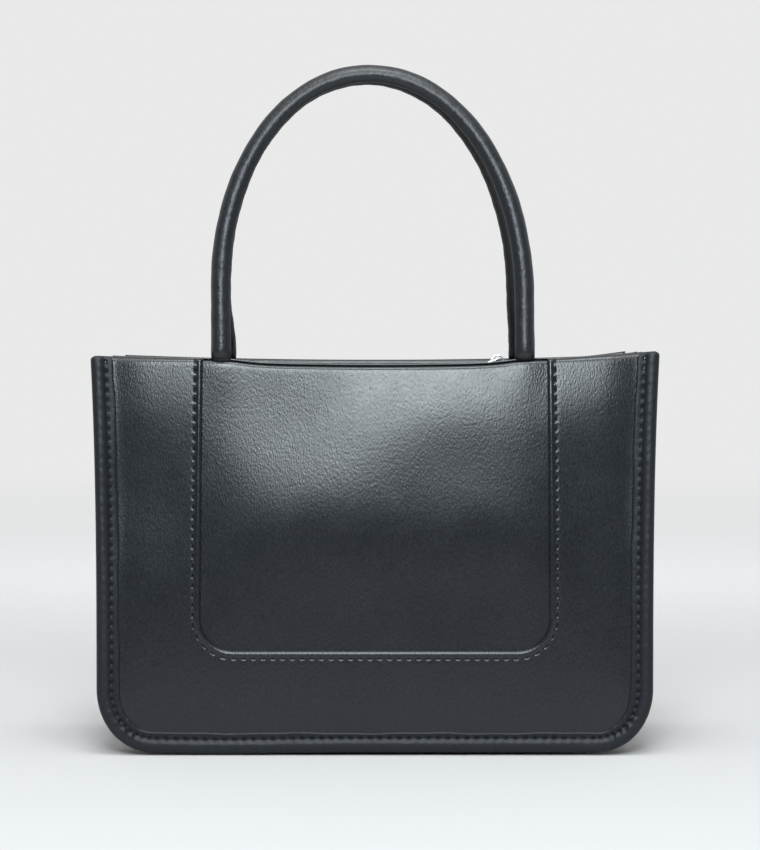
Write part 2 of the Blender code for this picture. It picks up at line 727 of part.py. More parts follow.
def build_pull():
    arm = CROWN_WIDTH / 2 + CLEARANCE + PULL_ARM_WIDTH
    tip = PULL_TIP_WIDTH / 2
    half_plan = [
        (PULL_BAR / 2, arm - PULL_BAR / 2),
        (0.0, arm),
        (-PULL_EYE_LENGTH, arm),
        (-2 * PULL_EYE_LENGTH, tip * 0.62),
        (-PULL_LENGTH + 2 * tip, tip),
        (-PULL_LENGTH + tip * 0.6, tip),
        (-PULL_LENGTH, tip * 0.4),
    ]
    plan = half_plan + [(x, -y) for x, y in reversed(half_plan)]
    half = PULL_THICKNESS / 2
    pull = prism("zip_pull", plan, "Z", -half, half, "nickel")
    bm = bmesh.new()
    bm.from_mesh(pull.data)
    for x in (0.0, -PULL_EYE_LENGTH, -PULL_EYE_LENGTH - PULL_CRANK):
        everything = bm.verts[:] + bm.edges[:] + bm.faces[:]
        bmesh.ops.bisect_plane(
            bm, geom=everything, dist=1e-7, plane_co=(x, 0.0, 0.0), plane_no=(1.0, 0.0, 0.0)
        )
    for v in bm.verts:
        v.co.z -= pull_drop(v.co.x)
    bm.to_mesh(pull.data)
    bm.free()

    past = PULL_LENGTH / 2
    clear = CROWN_WIDTH / 2 + CLEARANCE
    eye = rectangle(-PULL_EYE_LENGTH, -PULL_BAR / 2, -clear, clear)
    eye_cut = prism("pull_eye", eye, "Z", -past, past, "nickel")
    middle = -PULL_LENGTH + PULL_TIP_WIDTH / 2
    hole = []
    for k in range(TUBE_SIDES):
        turn = 2 * math.pi * k / TUBE_SIDES
        across = PULL_HOLE / 2 * math.sin(turn)
        hole.append((middle + PULL_HOLE / 2 * math.cos(turn), across))
    hole_cut = prism("pull_hole", hole, "Z", -past, past, "nickel")
    use_boolean(pull, eye_cut, "DIFFERENCE")
    use_boolean(pull, hole_cut, "DIFFERENCE")
    for piece in (pull, eye_cut, hole_cut):
        piece.location = (PULL_PIVOT_X, 0.0, PULL_PIVOT_Z)


def build_bag():
    clear_scene()
    for side, word in ((FRONT, "front"), (BACK, "back")):
        build_face(side, word)
        build_handle(side, word)
        build_tab(side, -1, f"{word}_handle_tab_left")
        build_tab(side, 1, f"{word}_handle_tab_right")
        build_zip_facing(side, word)
        build_tape(side, word)
        build_teeth(side, word)
    build_gusset()
    build_gusset_lining()
    build_base_board()
    bent_plate("slip_pocket", BACK, pocket_outline(), POCKET_AT, LINING, "lining")
    build_stops()
    build_slider()
    build_pull()


build_bag()
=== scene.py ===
# Small structured tote bag in black grained leather: the looks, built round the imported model.
# Metres, +Z up. The photographed face looks along -Y.
import json
import math

import bmesh
import bpy
import numpy as np
from mathutils import Matrix, Vector


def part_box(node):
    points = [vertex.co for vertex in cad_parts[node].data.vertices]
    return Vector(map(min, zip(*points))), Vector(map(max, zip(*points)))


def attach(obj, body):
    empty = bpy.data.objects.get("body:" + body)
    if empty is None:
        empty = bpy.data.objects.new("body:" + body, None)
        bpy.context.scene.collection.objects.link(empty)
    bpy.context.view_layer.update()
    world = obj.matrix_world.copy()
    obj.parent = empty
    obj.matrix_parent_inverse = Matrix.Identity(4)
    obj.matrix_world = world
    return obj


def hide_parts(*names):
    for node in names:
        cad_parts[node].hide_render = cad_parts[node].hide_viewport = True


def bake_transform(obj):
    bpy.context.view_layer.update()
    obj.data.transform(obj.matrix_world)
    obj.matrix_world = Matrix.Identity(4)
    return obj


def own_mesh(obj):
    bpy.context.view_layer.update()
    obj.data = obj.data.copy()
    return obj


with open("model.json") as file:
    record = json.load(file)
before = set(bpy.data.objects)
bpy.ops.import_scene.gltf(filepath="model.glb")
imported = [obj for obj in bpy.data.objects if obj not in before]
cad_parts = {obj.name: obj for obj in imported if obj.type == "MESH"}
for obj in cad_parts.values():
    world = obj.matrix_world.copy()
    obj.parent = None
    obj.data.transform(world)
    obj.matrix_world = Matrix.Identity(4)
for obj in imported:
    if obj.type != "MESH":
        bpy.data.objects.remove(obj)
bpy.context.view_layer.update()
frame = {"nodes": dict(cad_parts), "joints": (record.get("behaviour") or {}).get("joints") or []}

front = -1
back = 1
halfTurn = math.pi / 2


# Small helpers

def mix(a, b, share):
    return a + (b - a) * share


def ease(value, start, end):
    share = np.clip((value - start) / (end - start), 0, 1)
    return share * share * (3 - 2 * share)


def hump(distance, width):
    return np.exp(-(distance / width) ** 2)


def wander(way, length, turn):
    # an uneven wave between about -1 and 1, shifted by turn
    slow = np.sin(2 * math.pi * way / length + turn)
    quick = np.sin(2 * math.pi * way / (0.37 * length) + 2.3 * turn + 1.0)
    return 0.65 * slow + 0.35 * quick


def roundedLine(points, steps):
    # a closed smooth curve through a few points, as an array of (a, b)
    made = []
    count = len(points)
    for k in range(count):
        before, here, after, beyond = [Vector(points[(k + n) % count]) for n in (-1, 0, 1, 2)]
        for step in range(steps):
            t = step / steps
            bend = 2 * before - 5 * here + 4 * after - beyond
            twist = 3 * here - before - 3 * after + beyond
            made.append(here + 0.5 * (t * (after - before) + t * t * bend + t ** 3 * twist))
    return np.array(made)


# Shape of the bag, which every soft piece follows

bag = {
    "baseWidth": 0.2612,
    "flarePower": 3,
    "baseDepth": 0.1050,
    "mouthDepth": 0.0680,
    "taperPower": 2,
    "cornerRun": 0.0280,
    "cornerRise": 0.0310,
    "frontSag": 0.0047,
    "backSag": 0.0029,
    "rightLift": 0.0024,      # the right end of the mouth stands a little higher
    "liftFrom": 0.100,
    "legLift": 0.0014,        # the front of the mouth stands higher by the handles
    "legLiftInside": 0.013,
    "legLiftOutside": 0.030,
    "legSpacing": 0.1452,     # between the two legs of a handle
    "rollBack": 0.0003,       # how far the top of a wall leans in, and over what height
    "rollHeight": 0.0030,
    "sideFall": 0.0008,       # a face falls back towards its side seams, over what width
    "sideFallFrom": 0.0105,
    "sideFallWidth": 0.0170,
    "sideFallHeights": (0.020, 0.060),
    "swellFade": (0.0020, 0.0125),      # a swell comes up between these distances from the outline
    "innerSwellHeights": (0.150, 0.180),
}
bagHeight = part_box("front_binding")[1].z
topWidth = 2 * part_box("front_binding")[1].x

# depths of the layers behind the outer face, and how far in from the outline they start
layers = {
    "center": 0.0015,
    "flangeBack": 0.0027,
    "seam": 0.00295,          # where the outer leather and the facing meet on top of the wall
    "nose": 0.0013,           # radius of the leather's bend at the mouth
    "facing": 0.0049,
    "inside": 0.0059,
    "innerEdge": 0.0112,
    "gusset": 0.0085,
    "flangeEdge": 0.0018,
}

# soft swells and hollows of each face: middle x, middle z, radius, height
swells = {
    front: [
        (-0.112, 0.122, 0.035, -0.0021),
        (-0.054, 0.166, 0.028, -0.0007),
        (-0.052, 0.105, 0.030, 0.0014),
        (-0.010, 0.112, 0.034, 0.0023),
        (0.006, 0.150, 0.024, 0.0006),
        (0.028, 0.106, 0.026, 0.0010),
        (0.066, 0.107, 0.031, 0.0022),
        (0.048, 0.160, 0.034, 0.0017),
        (0.078, 0.150, 0.024, 0.0004),
        (0.116, 0.120, 0.030, -0.0013),
        (0.108, 0.170, 0.026, 0.0008),
    ],
    back: [
        (0.020, 0.120, 0.040, 0.0014),
        (-0.052, 0.150, 0.026, 0.0008),
        (0.062, 0.075, 0.032, 0.0007),
        (-0.050, 0.080, 0.034, 0.0009),
        (0.108, 0.125, 0.024, -0.0006),
        (-0.110, 0.110, 0.024, -0.0008),
    ],
}


def halfWidth(z):
    flare = (topWidth - bag["baseWidth"]) / 2
    return bag["baseWidth"] / 2 + flare * np.maximum(z / bagHeight, 0) ** bag["flarePower"]


def halfDepth(z):
    taper = (bag["baseDepth"] - bag["mouthDepth"]) / 2
    return bag["baseDepth"] / 2 - taper * np.maximum(z / bagHeight, 0) ** bag["taperPower"]


def mouthHeight(x, side):
    sag = bag["frontSag"] if side == front else bag["backSag"]
    across = np.abs(x) / (topWidth / 2)
    lift = bag["rightLift"] * ease(x, bag["liftFrom"], topWidth / 2)
    if side == front:
        past = np.abs(x) - bag["legSpacing"] / 2
        width = np.where(past > 0, bag["legLiftOutside"], bag["legLiftInside"])
        lift = lift + bag["legLift"] * hump(past, width)
    return bagHeight - sag * (1 - np.minimum(across, 1) ** 2) + lift


def swell(x, z, side):
    total = 0.0
    for middleX, middleZ, radius, height in swells[side]:
        away = np.hypot(x - middleX, z - middleZ)
        total = total + height * hump(away, radius)
    toTop = np.clip((mouthHeight(x, side) - z) / bag["rollHeight"], 0, 1)
    total = total - bag["rollBack"] * (1 - toTop) ** 2
    fromEdge = halfWidth(z) - np.abs(x)
    fall = np.clip(1 - (fromEdge - bag["sideFallFrom"]) / bag["sideFallWidth"], 0, 1)
    total = total - bag["sideFall"] * fall ** 2 * ease(z, *bag["sideFallHeights"])
    return total * ease(fromEdge, *bag["swellFade"])


def facePoint(x, z, depth, side, lowSwell=1.0):
    # a place on a face, that far behind its outer surface. Inner layers only swell near the mouth.
    share = mix(lowSwell, 1.0, ease(z, *bag["innerSwellHeights"]))
    return x, side * (halfDepth(z) - depth + share * swell(x, z, side)), z


def faceNormal(z, side):
    step = 0.001
    slope = (halfDepth(z + step) - halfDepth(z - step)) / (2 * step)
    return Vector((0.0, side, -float(slope))).normalized()


def rollOver(toSeam, radius, flat):
    # leather turned over the top of a wall: how far it drops and how deep it lies
    past = toSeam - flat
    turn = np.clip(1 - past / (radius * halfTurn), 0, 1) * halfTurn
    drop = radius * (1 - np.sin(turn)) + np.maximum(past - radius * halfTurn, 0)
    return drop, radius * (1 - np.cos(turn)) + np.clip(-past, 0, flat)


# A U line runs down the left side, along the bottom and up the right side. Its phase is -3 to 3:
# a flat bottom up to 1, a corner up to 2 and a side up to 3.

def uShape(flatHalf, run, rise, low, flares):
    cornerLength = halfTurn * math.sqrt((run * run + rise * rise) / 2)
    straight = bagHeight - low - rise
    return {
        "flatHalf": flatHalf, "run": run, "rise": rise, "low": low, "flares": flares,
        "cornerLength": cornerLength, "straight": straight,
        "half": flatHalf + cornerLength + straight,
    }


def phaseOf(way, shape):
    ends = [0, shape["flatHalf"], shape["flatHalf"] + shape["cornerLength"], shape["half"]]
    return np.sign(way) * np.interp(np.abs(way), ends, [0, 1, 2, 3])


def uLine(phase, shape, inset, side, over=0.0, flat=0.0, above=0.0):
    # x, z and the depth that a turned-over top end adds
    reach = np.abs(phase)
    turn = np.clip(reach - 1, 0, 1) * halfTurn
    spring = shape["low"] + shape["rise"]
    x = shape["flatHalf"] * np.minimum(reach, 1) + (shape["run"] - inset) * np.sin(turn)
    top = mouthHeight(np.sign(phase) * x, side) + above
    length = top - spring + (halfTurn - 1) * over + flat
    drop, deeper = rollOver(np.clip(3 - reach, 0, 1) * length, max(over, 1e-6), flat)
    z = np.where(reach > 2, top - drop, spring - (shape["rise"] - inset) * np.cos(turn))
    if shape["flares"]:
        x = x + halfWidth(z) - halfWidth(spring)
    return np.sign(phase) * x, z, np.where(reach > 2, deeper, 0.0)


springHalf = float(halfWidth(bag["cornerRise"]))
outline = uShape(springHalf - bag["cornerRun"], bag["cornerRun"], bag["cornerRise"], 0.0, True)


# Meshes

def linked(name, data):
    made = bpy.data.objects.new(name, data)
    bpy.context.scene.collection.objects.link(made)
    return made


def finishedPiece(name, bm, material, smooth=40):
    mesh = bpy.data.meshes.new(name)
    bm.to_mesh(mesh)
    bm.free()
    mesh.shade_smooth()
    mesh.set_sharp_from_angle(angle=math.radians(smooth))
    mesh.materials.append(material)
    return linked(name, mesh)


def shapedGrid(across, along, place, closed=False, marks=None):
    # a grid whose points go where place(u, v) says. closed joins its two edges across v into a
    # tube and caps the ends. marks are shares that the materials read.
    bm = bmesh.new()
    bmesh.ops.create_grid(bm, x_segments=along, y_segments=across, size=0.5)
    spots = np.array([v.co for v in bm.verts]) + 0.5
    x, y, z = place(spots[:, 0], spots[:, 1])
    for v, spot in zip(bm.verts, np.column_stack(np.broadcast_arrays(x, y, z))):
        v.co = spot
    for name, share in (marks or {}).items():
        layer = bm.verts.layers.float.new(name)
        for v, value in zip(bm.verts, np.broadcast_to(share(spots[:, 0], spots[:, 1]), len(spots))):
            v[layer] = value
    if closed:
        bmesh.ops.remove_doubles(bm, verts=bm.verts, dist=1e-7)
        rims = [e for e in bm.edges if e.is_boundary]
        bmesh.ops.holes_fill(bm, edges=rims, sides=0)
    bmesh.ops.recalc_face_normals(bm, faces=bm.faces)
    return bm


def dress(piece, body, slot, *nodes):
    if body:
        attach(piece, body)
    if nodes:
        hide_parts(*nodes)


def dressSheet(name, bm, outward, thickness, material, slot, *nodes):
    # an open sheet turned so that its middle face looks outward, and given its thickness inward
    bm.faces.ensure_lookup_table()
    if bm.faces[len(bm.faces) // 2].normal.dot(Vector(outward)) < 0:
        bmesh.ops.reverse_faces(bm, faces=bm.faces)
    piece = finishedPiece(name, bm, material, 60)
    solid = piece.modifiers.new("thickness", "SOLIDIFY")
    solid.thickness = thickness
    solid.offset = -1
    solid.use_even_offset = False
    dress(piece, "bag", slot, *nodes)


def bevel(bm, edges, width, segments, clamped=False):
    bmesh.ops.bevel(
        bm, geom=edges, offset=width, affect="EDGES", segments=segments, profile=0.5, material=-1,
        clamp_overlap=clamped,
    )


def placed(point):
    return Vector([float(c) for c in point])


# Materials

class Wire:
    # one output socket, so that shader maths reads as an expression
    def __init__(self, finish, socket):
        self.finish = finish
        self.socket = socket

    def maths(self, operation, first, second):
        return self.finish.add("ShaderNodeMath", {"operation": operation}, {0: first, 1: second})

    def __add__(self, other):
        return self.maths("ADD", self, other)

    def __sub__(self, other):
        return self.maths("SUBTRACT", self, other)

    def __rsub__(self, other):
        return self.maths("SUBTRACT", other, self)

    def __mul__(self, other):
        return self.maths("MULTIPLY", self, other)

    __radd__ = __add__
    __rmul__ = __mul__


class Board:
    # a node tree to which nodes are added one by one
    def __init__(self, tree):
        self.tree = tree

    def add(self, kind, settings=None, sockets=None, output=0):
        node = self.tree.nodes.new(kind)
        for key, value in (settings or {}).items():
            setattr(node, key, value)
        for key, value in (sockets or {}).items():
            self.feed(node.inputs[key], value)
        return Wire(self, node.outputs[output])

    def feed(self, socket, value):
        if isinstance(value, Wire):
            self.tree.links.new(value.socket, socket)
        else:
            socket.default_value = value

    def blendColours(self, share, first, second):
        settings = {"data_type": "RGBA"}
        return self.add("ShaderNodeMix", settings, {0: share, 6: first, 7: second}, output=2)


class Finish(Board):
    # one material round a principled shader
    def __init__(self, name, **settings):
        self.material = bpy.data.materials.new(name)
        self.material.use_nodes = True
        super().__init__(self.material.node_tree)
        self.shader = self.tree.nodes["Principled BSDF"]
        for socket, value in settings.items():
            self.shader.inputs[socket.replace("_", " ")].default_value = value

    def give(self, socket, value):
        self.feed(self.shader.inputs[socket], value)

    def place(self):
        return self.add("ShaderNodeTexCoord", output="Object")

    def noise(self, scale, detail, at=None):
        sockets = {"Vector": at or self.place(), "Scale": scale, "Detail": detail}
        return self.add("ShaderNodeTexNoise", None, sockets)

    def bumps(self, height, distance):
        sockets = {"Height": height, "Distance": distance, "Strength": 1.0}
        self.give("Normal", self.add("ShaderNodeBump", None, sockets))

    def mark(self, name):
        return self.add("ShaderNodeAttribute", {"attribute_name": name}, output="Fac")


leather = {
    "deep": (0.0030, 0.0046, 0.0068, 1),
    "base": (0.0120, 0.0150, 0.0192, 1),
    "rubbed": (0.0200, 0.0230, 0.0270, 1),
    # painted shade: the colour given to the stitch slots and the handle's seam groove
    "paintedShadeColour": (0.0020, 0.0022, 0.0025, 1),
    "roughness": 0.25,
    "edgeRoughness": 0.45,
    "handleRoughness": 0.38,
    "pitRoughness": 0.5,      # rougher by this much where a stitch pricks it
    "shine": 0.5,             # specular level
    "edgeShine": 0.30,
    "grainSize": 0.00120,
    "grainHeight": 0.000044,
    "grainStretch": (1.7, 1.7, 0.75),
    "cellShare": 0.7,         # height of the cells beside that of the fine grain
    "cellSoftness": 0.5,
    "mottleSize": 0.0026,
    "mottleHeight": 0.00002,
    "edgeMottleHeight": 0.00016,
    "handleMottleHeight": 0.00024,
    "fineTone": 1.5,          # how strongly the grain and slow clouds change the tone
    "cloudTone": 0.5,
    "toneShift": 0.5,
    "cloudScale": 26,
    "wornScale": 60,
    "unevenShine": 0.10,
}


def makeLeather(name, roughness, shine, mottleHeight):
    # a printed grain of small cells over a slower mottle, with painted shade in the stitch slots and
    # along the handle's seam groove
    made = Finish(name, Specular_IOR_Level=shine)
    grainScale = 1 / leather["grainSize"]
    grainHeight = leather["grainHeight"]
    stretch = {0: made.place(), 1: leather["grainStretch"]}
    grainPlace = made.add("ShaderNodeVectorMath", {"operation": "MULTIPLY"}, stretch)
    fine = made.noise(grainScale, 1, grainPlace)
    cloud = made.noise(leather["cloudScale"], 4)
    share = fine * leather["fineTone"] + cloud * leather["cloudTone"] - leather["toneShift"]
    tone = made.blendColours(share, leather["deep"], leather["base"])
    tone = made.blendColours(made.mark("rub"), tone, leather["rubbed"])
    # painted shade: darker in the stitch slots and along the handle's seam, where shade falls, and
    # rougher there too
    paintedShade = made.mark("paintedShade")
    made.give("Base Color", made.blendColours(paintedShade, tone, leather["paintedShadeColour"]))
    sockets = {"Vector": grainPlace, "Scale": grainScale, "Smoothness": leather["cellSoftness"]}
    cells = made.add("ShaderNodeTexVoronoi", {"feature": "SMOOTH_F1"}, sockets)
    mottle = made.noise(1 / leather["mottleSize"], 2)
    grain = cells * (leather["cellShare"] * grainHeight) + fine * grainHeight
    made.bumps(grain + mottle * mottleHeight, 1.0)
    worn = made.noise(leather["wornScale"], 3)
    uneven = (worn - 0.5) * leather["unevenShine"] + (fine - 0.5) * leather["unevenShine"]
    made.give("Roughness", roughness + uneven + paintedShade * leather["pitRoughness"])
    return made.material


panelLeather = makeLeather(
    "grainedPanelLeather", leather["roughness"], leather["shine"], leather["mottleHeight"]
)
edgeLeather = makeLeather(
    "softBindingLeather", leather["edgeRoughness"], leather["edgeShine"], leather["edgeMottleHeight"]
)
handleLeather = makeLeather(
    "rolledHandleLeather", leather["handleRoughness"], leather["shine"], leather["handleMottleHeight"]
)

liningLook = {
    "dark": (0.016, 0.016, 0.018, 1),
    "light": (0.050, 0.051, 0.056, 1),
    "pitch": 0.0007,
    "roughness": 0.8,
    "relief": 0.00010,
}
tapeLook = {
    "dark": (0.008, 0.008, 0.009, 1),
    "light": (0.030, 0.030, 0.033, 1),
    "pitch": 0.0005,
    "roughness": 0.75,
    "relief": 0.00010,
}
cloth = {
    "shine": 0.2,
    "sheen": 0.15,
    "weaveTone": 0.22,        # how light the threads, the ground and the fuzz are
    "groundTone": 0.28,
    "fuzzTone": 0.4,
    "fuzzPerThread": 1.4,
    "fuzzRoughness": 0.1,
    "weaveHeight": 0.5,       # beside the fuzz's
}


def makeCloth(name, look):
    # a plain weave: two sets of threads that pass over each other
    made = Finish(name, Specular_IOR_Level=cloth["shine"], Sheen_Weight=cloth["sheen"])
    split = made.add("ShaderNodeSeparateXYZ", None, {0: made.place()})
    waves = []
    for axis in range(3):
        part = Wire(made, split.socket.node.outputs[axis])
        angle = part * (2 * math.pi / look["pitch"])
        waves.append(made.add("ShaderNodeMath", {"operation": "SINE"}, {0: angle}))
    weave = waves[0] * waves[2] + waves[1] * waves[2]
    fuzz = made.noise(cloth["fuzzPerThread"] / look["pitch"], 3)
    share = weave * cloth["weaveTone"] + cloth["groundTone"] + fuzz * cloth["fuzzTone"]
    made.give("Base Color", made.blendColours(share, look["dark"], look["light"]))
    made.give("Roughness", look["roughness"] + (fuzz - 0.5) * cloth["fuzzRoughness"])
    made.bumps(weave * cloth["weaveHeight"] + fuzz, look["relief"])
    return made.material


nickelLook = {
    "dark": (0.56, 0.57, 0.58, 1),
    "light": (0.74, 0.745, 0.75, 1),
    "roughness": 0.16,
    "cloudRoughness": 0.12,
    "scratchRoughness": 0.05,
    "cloudScale": 420,
    "scratchScale": 5200,
    "scratchHeight": 0.000004,
}


def makeNickel():
    made = Finish("brushedNickel", Metallic=1.0)
    cloud = made.noise(nickelLook["cloudScale"], 3)
    made.give("Base Color", made.blendColours(cloud, nickelLook["dark"], nickelLook["light"]))
    scratches = made.noise(nickelLook["scratchScale"], 2)
    uneven = cloud * nickelLook["cloudRoughness"] + scratches * nickelLook["scratchRoughness"]
    made.give("Roughness", nickelLook["roughness"] + uneven)
    made.bumps(scratches, nickelLook["scratchHeight"])
    return made.material


boardLook = {
    "dark": (0.20, 0.175, 0.135, 1),
    "light": (0.40, 0.365, 0.30, 1),
    "shine": 0.2,
    "roughness": 0.8,
    "uneven": 0.15,           # how much the roughness changes from fibre to fibre
    "fibreScale": 900,
    "fibreDetail": 5,
    "fibreHeight": 0.00008,
}
threadLook = {
    "dark": (0.006, 0.0065, 0.007, 1),
    "light": (0.020, 0.021, 0.023, 1),
    "shine": 0.25,
    "roughness": 0.6,
    "uneven": 0.2,
    "fibreScale": 2600,
    "fibreDetail": 2,
    "fibreHeight": 0.00006,
}


def makeFibrous(name, look):
    made = Finish(name, Specular_IOR_Level=look["shine"])
    fibres = made.noise(look["fibreScale"], look["fibreDetail"])
    made.give("Base Color", made.blendColours(fibres, look["dark"], look["light"]))
    made.give("Roughness", look["roughness"] + (fibres - 0.5) * look["uneven"])
    made.bumps(fibres, look["fibreHeight"])
    return made.material


liningCloth = makeCloth("wovenLining", liningLook)
tapeCloth = makeCloth("zipTapeWeave", tapeLook)
nickel = makeNickel()
fibreBoard = makeFibrous("fibreBoard", boardLook)
thread = makeFibrous("waxedThread", threadLook)
print("materials made")


# Stitches

stitch = {
    "pitch": 0.00455,
    "slotHalf": 0.00110,      # half the length of the slot that a stitch pulls into the leather
    "slotWidth": 0.00046,
    "slotDepth": 0.00065,
    "slotEnds": (-0.0004, 0.0005),      # a slot runs out between these places past its half length
    "channelWidth": 0.0012,
    "channelDepth": 0.00003,
    "bridgeHeight": 0.00010,  # leather pushed up between two slots
    "bridgeLength": 0.0005,
    "bridgeWidth": 0.0006,
    "threadRadius": 0.00022,
    "threadHalf": 0.00100,
    "threadSunk": 0.00045,
    "threadSides": 6,
    "lean": 0.10,             # across its row, for each step along it
}


def fromMiddle(way):
    # how far along the row from the middle of the nearest stitch
    return (way / stitch["pitch"] - np.floor(way / stitch["pitch"]) - 0.5) * stitch["pitch"]


def slotShare(way, off, widen=1.0, lengthen=1.0):
    # 1 inside the slot of a stitch, 0 away from it. off is the distance beside the row.
    half = lengthen * stitch["slotHalf"]
    full, gone = stitch["slotEnds"]
    share = 1 - ease(np.abs(fromMiddle(way)), half + full, half + gone)
    return share * hump(off, widen * stitch["slotWidth"])


def stitchDent(way, off, widen=1.0, lengthen=1.0):
    # how deep the leather is pulled in by a row of stitches
    toBridge = stitch["pitch"] / 2 - np.abs(fromMiddle(way))
    bridge = stitch["bridgeHeight"] * hump(toBridge, stitch["bridgeLength"])
    bridge = bridge * hump(off, stitch["bridgeWidth"])
    channel = stitch["channelDepth"] * hump(off, stitch["channelWidth"])
    return stitch["slotDepth"] * slotShare(way, off, widen, lengthen) - bridge + channel


def layStitch(bm, start, end, normal, lean=stitch["lean"]):
    # one pull of thread: a spindle between two points, leaning a little across the row
    along = (end - start).normalized()
    across = normal.cross(along).normalized()
    along = (along + lean * across).normalized()
    across = normal.cross(along).normalized()
    turn = Matrix((along, across, along.cross(across))).transposed().to_4x4()
    size = Matrix.Diagonal((stitch["threadHalf"], stitch["threadRadius"], stitch["threadRadius"], 1))
    spot = Matrix.Translation((start + end) / 2)
    sides = stitch["threadSides"]
    bmesh.ops.create_uvsphere(bm, u_segments=sides, v_segments=sides, radius=1, matrix=spot @ turn @ size)


def stitchRow(name, ways, place, normalAt, slot):
    # place gives a point for a distance along the row
    bm = bmesh.new()
    for way in ways:
        start = placed(place(way - stitch["threadHalf"]))
        end = placed(place(way + stitch["threadHalf"]))
        layStitch(bm, start, end, normalAt((start + end) / 2))
    dress(finishedPiece(name, bm, thread, 180), "bag", slot)


def rowWays(half):
    # the middles of the stitches that fit between -half and half
    count = int(half / stitch["pitch"])
    return [(k + 0.5) * stitch["pitch"] for k in range(-count, count)]


# Surround panel: the U round the window, its window edge turned under and topstitched

surround = {
    "windowWidth": 0.1650,
    "windowBottom": 0.0482,
    "windowRadius": 0.0160,
    "stitchesFromEdge": 0.0031,
    "topLean": 0.0004,        # the window is this much narrower on each side at the mouth
    "leanFrom": 0.070,
    "rowEnds": 0.0055,        # the stitches stop this far short of the panel's top
    "paintedShadeWiden": 1.3,          # the painted shade beside a slot, this many times as wide as the slot
    "skin": 0.0005,
    "skinDepth": 0.0003,      # what lies deeper is the turned hem
    # from the hem under the edge, round the bead to the face: distance from the edge, depth
    "bead": [
        (0.0046, 0.00125), (0.0022, 0.00125), (0.0008, 0.00120), (0.0002, 0.00100),
        (0.0000, 0.00065), (0.0001, 0.00020), (0.0004, -0.00015), (0.0009, -0.00035),
        (0.0014, -0.00030), (0.0018, -0.00012), (0.0021, -0.00004),
    ],
    "stitchColumns": [0.0025, 0.0028, 0.0031, 0.0034, 0.0037, 0.0041, 0.0048, 0.0064],
    "farColumns": 16,
    "stationsPerStitch": 8,
}
windowHalf = surround["windowWidth"] / 2
windowLine = uShape(
    windowHalf - surround["windowRadius"], surround["windowRadius"], surround["windowRadius"],
    surround["windowBottom"], False,
)


def surroundSection():
    beads = surround["bead"] + [(a, 0.0) for a in surround["stitchColumns"]]
    count = surround["farColumns"]
    near = [a for a, _ in beads] + [beads[-1][0]] * count
    far = [0.0] * len(beads) + [(k + 1) / count for k in range(count)]
    depth = [b for _, b in beads] + [0.0] * count
    return np.array(near), np.array(far), np.array(depth)


def surroundPoint(way, near, far, depth, side):
    phase = phaseOf(way, windowLine)
    nose = layers["nose"]
    flat = layers["seam"] - nose
    x, z, deeper = uLine(phase, windowLine, -near, side, nose, flat)
    x = x - np.sign(x) * surround["topLean"] * ease(z, surround["leanFrom"], bagHeight)
    outerX, outerZ, _ = uLine(phase, outline, layers["flangeEdge"], side, nose, flat)
    x = mix(x, outerX, far)
    z = mix(z, outerZ, far)
    off = near - surround["stitchesFromEdge"] + far
    dent = np.where(depth < surround["skinDepth"], stitchDent(way, off), 0)
    return facePoint(x, z, depth + deeper + dent, side)


def makeSurround(side, word):
    near, far, depth = surroundSection()
    knots = np.arange(len(near))
    half = windowLine["half"]
    along = int(2 * half / stitch["pitch"]) * surround["stationsPerStitch"]

    def column(v):
        return [np.interp(v * knots[-1], knots, values) for values in (near, far, depth)]

    def place(u, v):
        return surroundPoint((u - 0.5) * 2 * half, *column(v), side)

    # painted shade in the stitch slots, where they show on the face
    def paintedShade(u, v):
        nearHere, farHere, depthHere = column(v)
        off = nearHere - surround["stitchesFromEdge"] + farHere
        shown = depthHere < surround["skinDepth"]
        return shown * slotShare((u - 0.5) * 2 * half, off, surround["paintedShadeWiden"])

    bm = shapedGrid(len(near) - 1, along, place, marks={"paintedShade": paintedShade})
    dressSheet(
        f"{word}SurroundPanel", bm, (0, side, 0), surround["skin"], panelLeather, "leather",
        f"{word}_surround_panel",
    )

    def threadPlace(way):
        off = surround["stitchesFromEdge"]
        return surroundPoint(np.array(way), off, 0.0, stitch["threadSunk"], side)

    def normalAt(spot):
        return faceNormal(spot.z, side)

    ways = rowWays(half - surround["rowEnds"])
    stitchRow(f"{word}WindowStitches", ways, threadPlace, normalAt, "leather")


# Centre panel behind the window

center = {
    "lap": 0.0100,
    "spacing": 0.0014,
    "skin": 0.0010,
    "topDrop": 0.0004,        # its turned edge lies this much lower than the surround's
    "legBulge": 0.0006,       # pushed out where a handle passes behind it
    "legBulgeRadius": 0.0100,
    "legBulgeStretch": 0.6,   # it reaches further down than to the sides
    "noseLess": 0.0003,       # its bend at the mouth is this much tighter than the surround's
    "tuck": 0.0008,           # its turned edge runs on under the facing, but not by the handles
    "tuckBreak": 0.0090,
    "extraRows": 6,
    "evenRows": 0.12,         # share of even spacing, the rest being closer towards the mouth
    "rowPower": 1.12,
}


def centerPoint(x, toSeam, side):
    nose = layers["nose"] - center["noseLess"]
    tuck = center["tuck"]
    for leg in handleLegs:
        tuck = tuck * (1 - hump(x - leg, center["tuckBreak"]))
    drop, deeper = rollOver(toSeam, nose, layers["seam"] - layers["center"] - nose + tuck)
    z = mouthHeight(x, side) - center["topDrop"] - drop
    bulge = 0.0
    for leg in handleLegs:
        away = np.hypot(x - leg, center["legBulgeStretch"] * drop)
        bulge = bulge + center["legBulge"] * hump(away, center["legBulgeRadius"])
    return facePoint(x, z, layers["center"] + deeper - bulge, side)


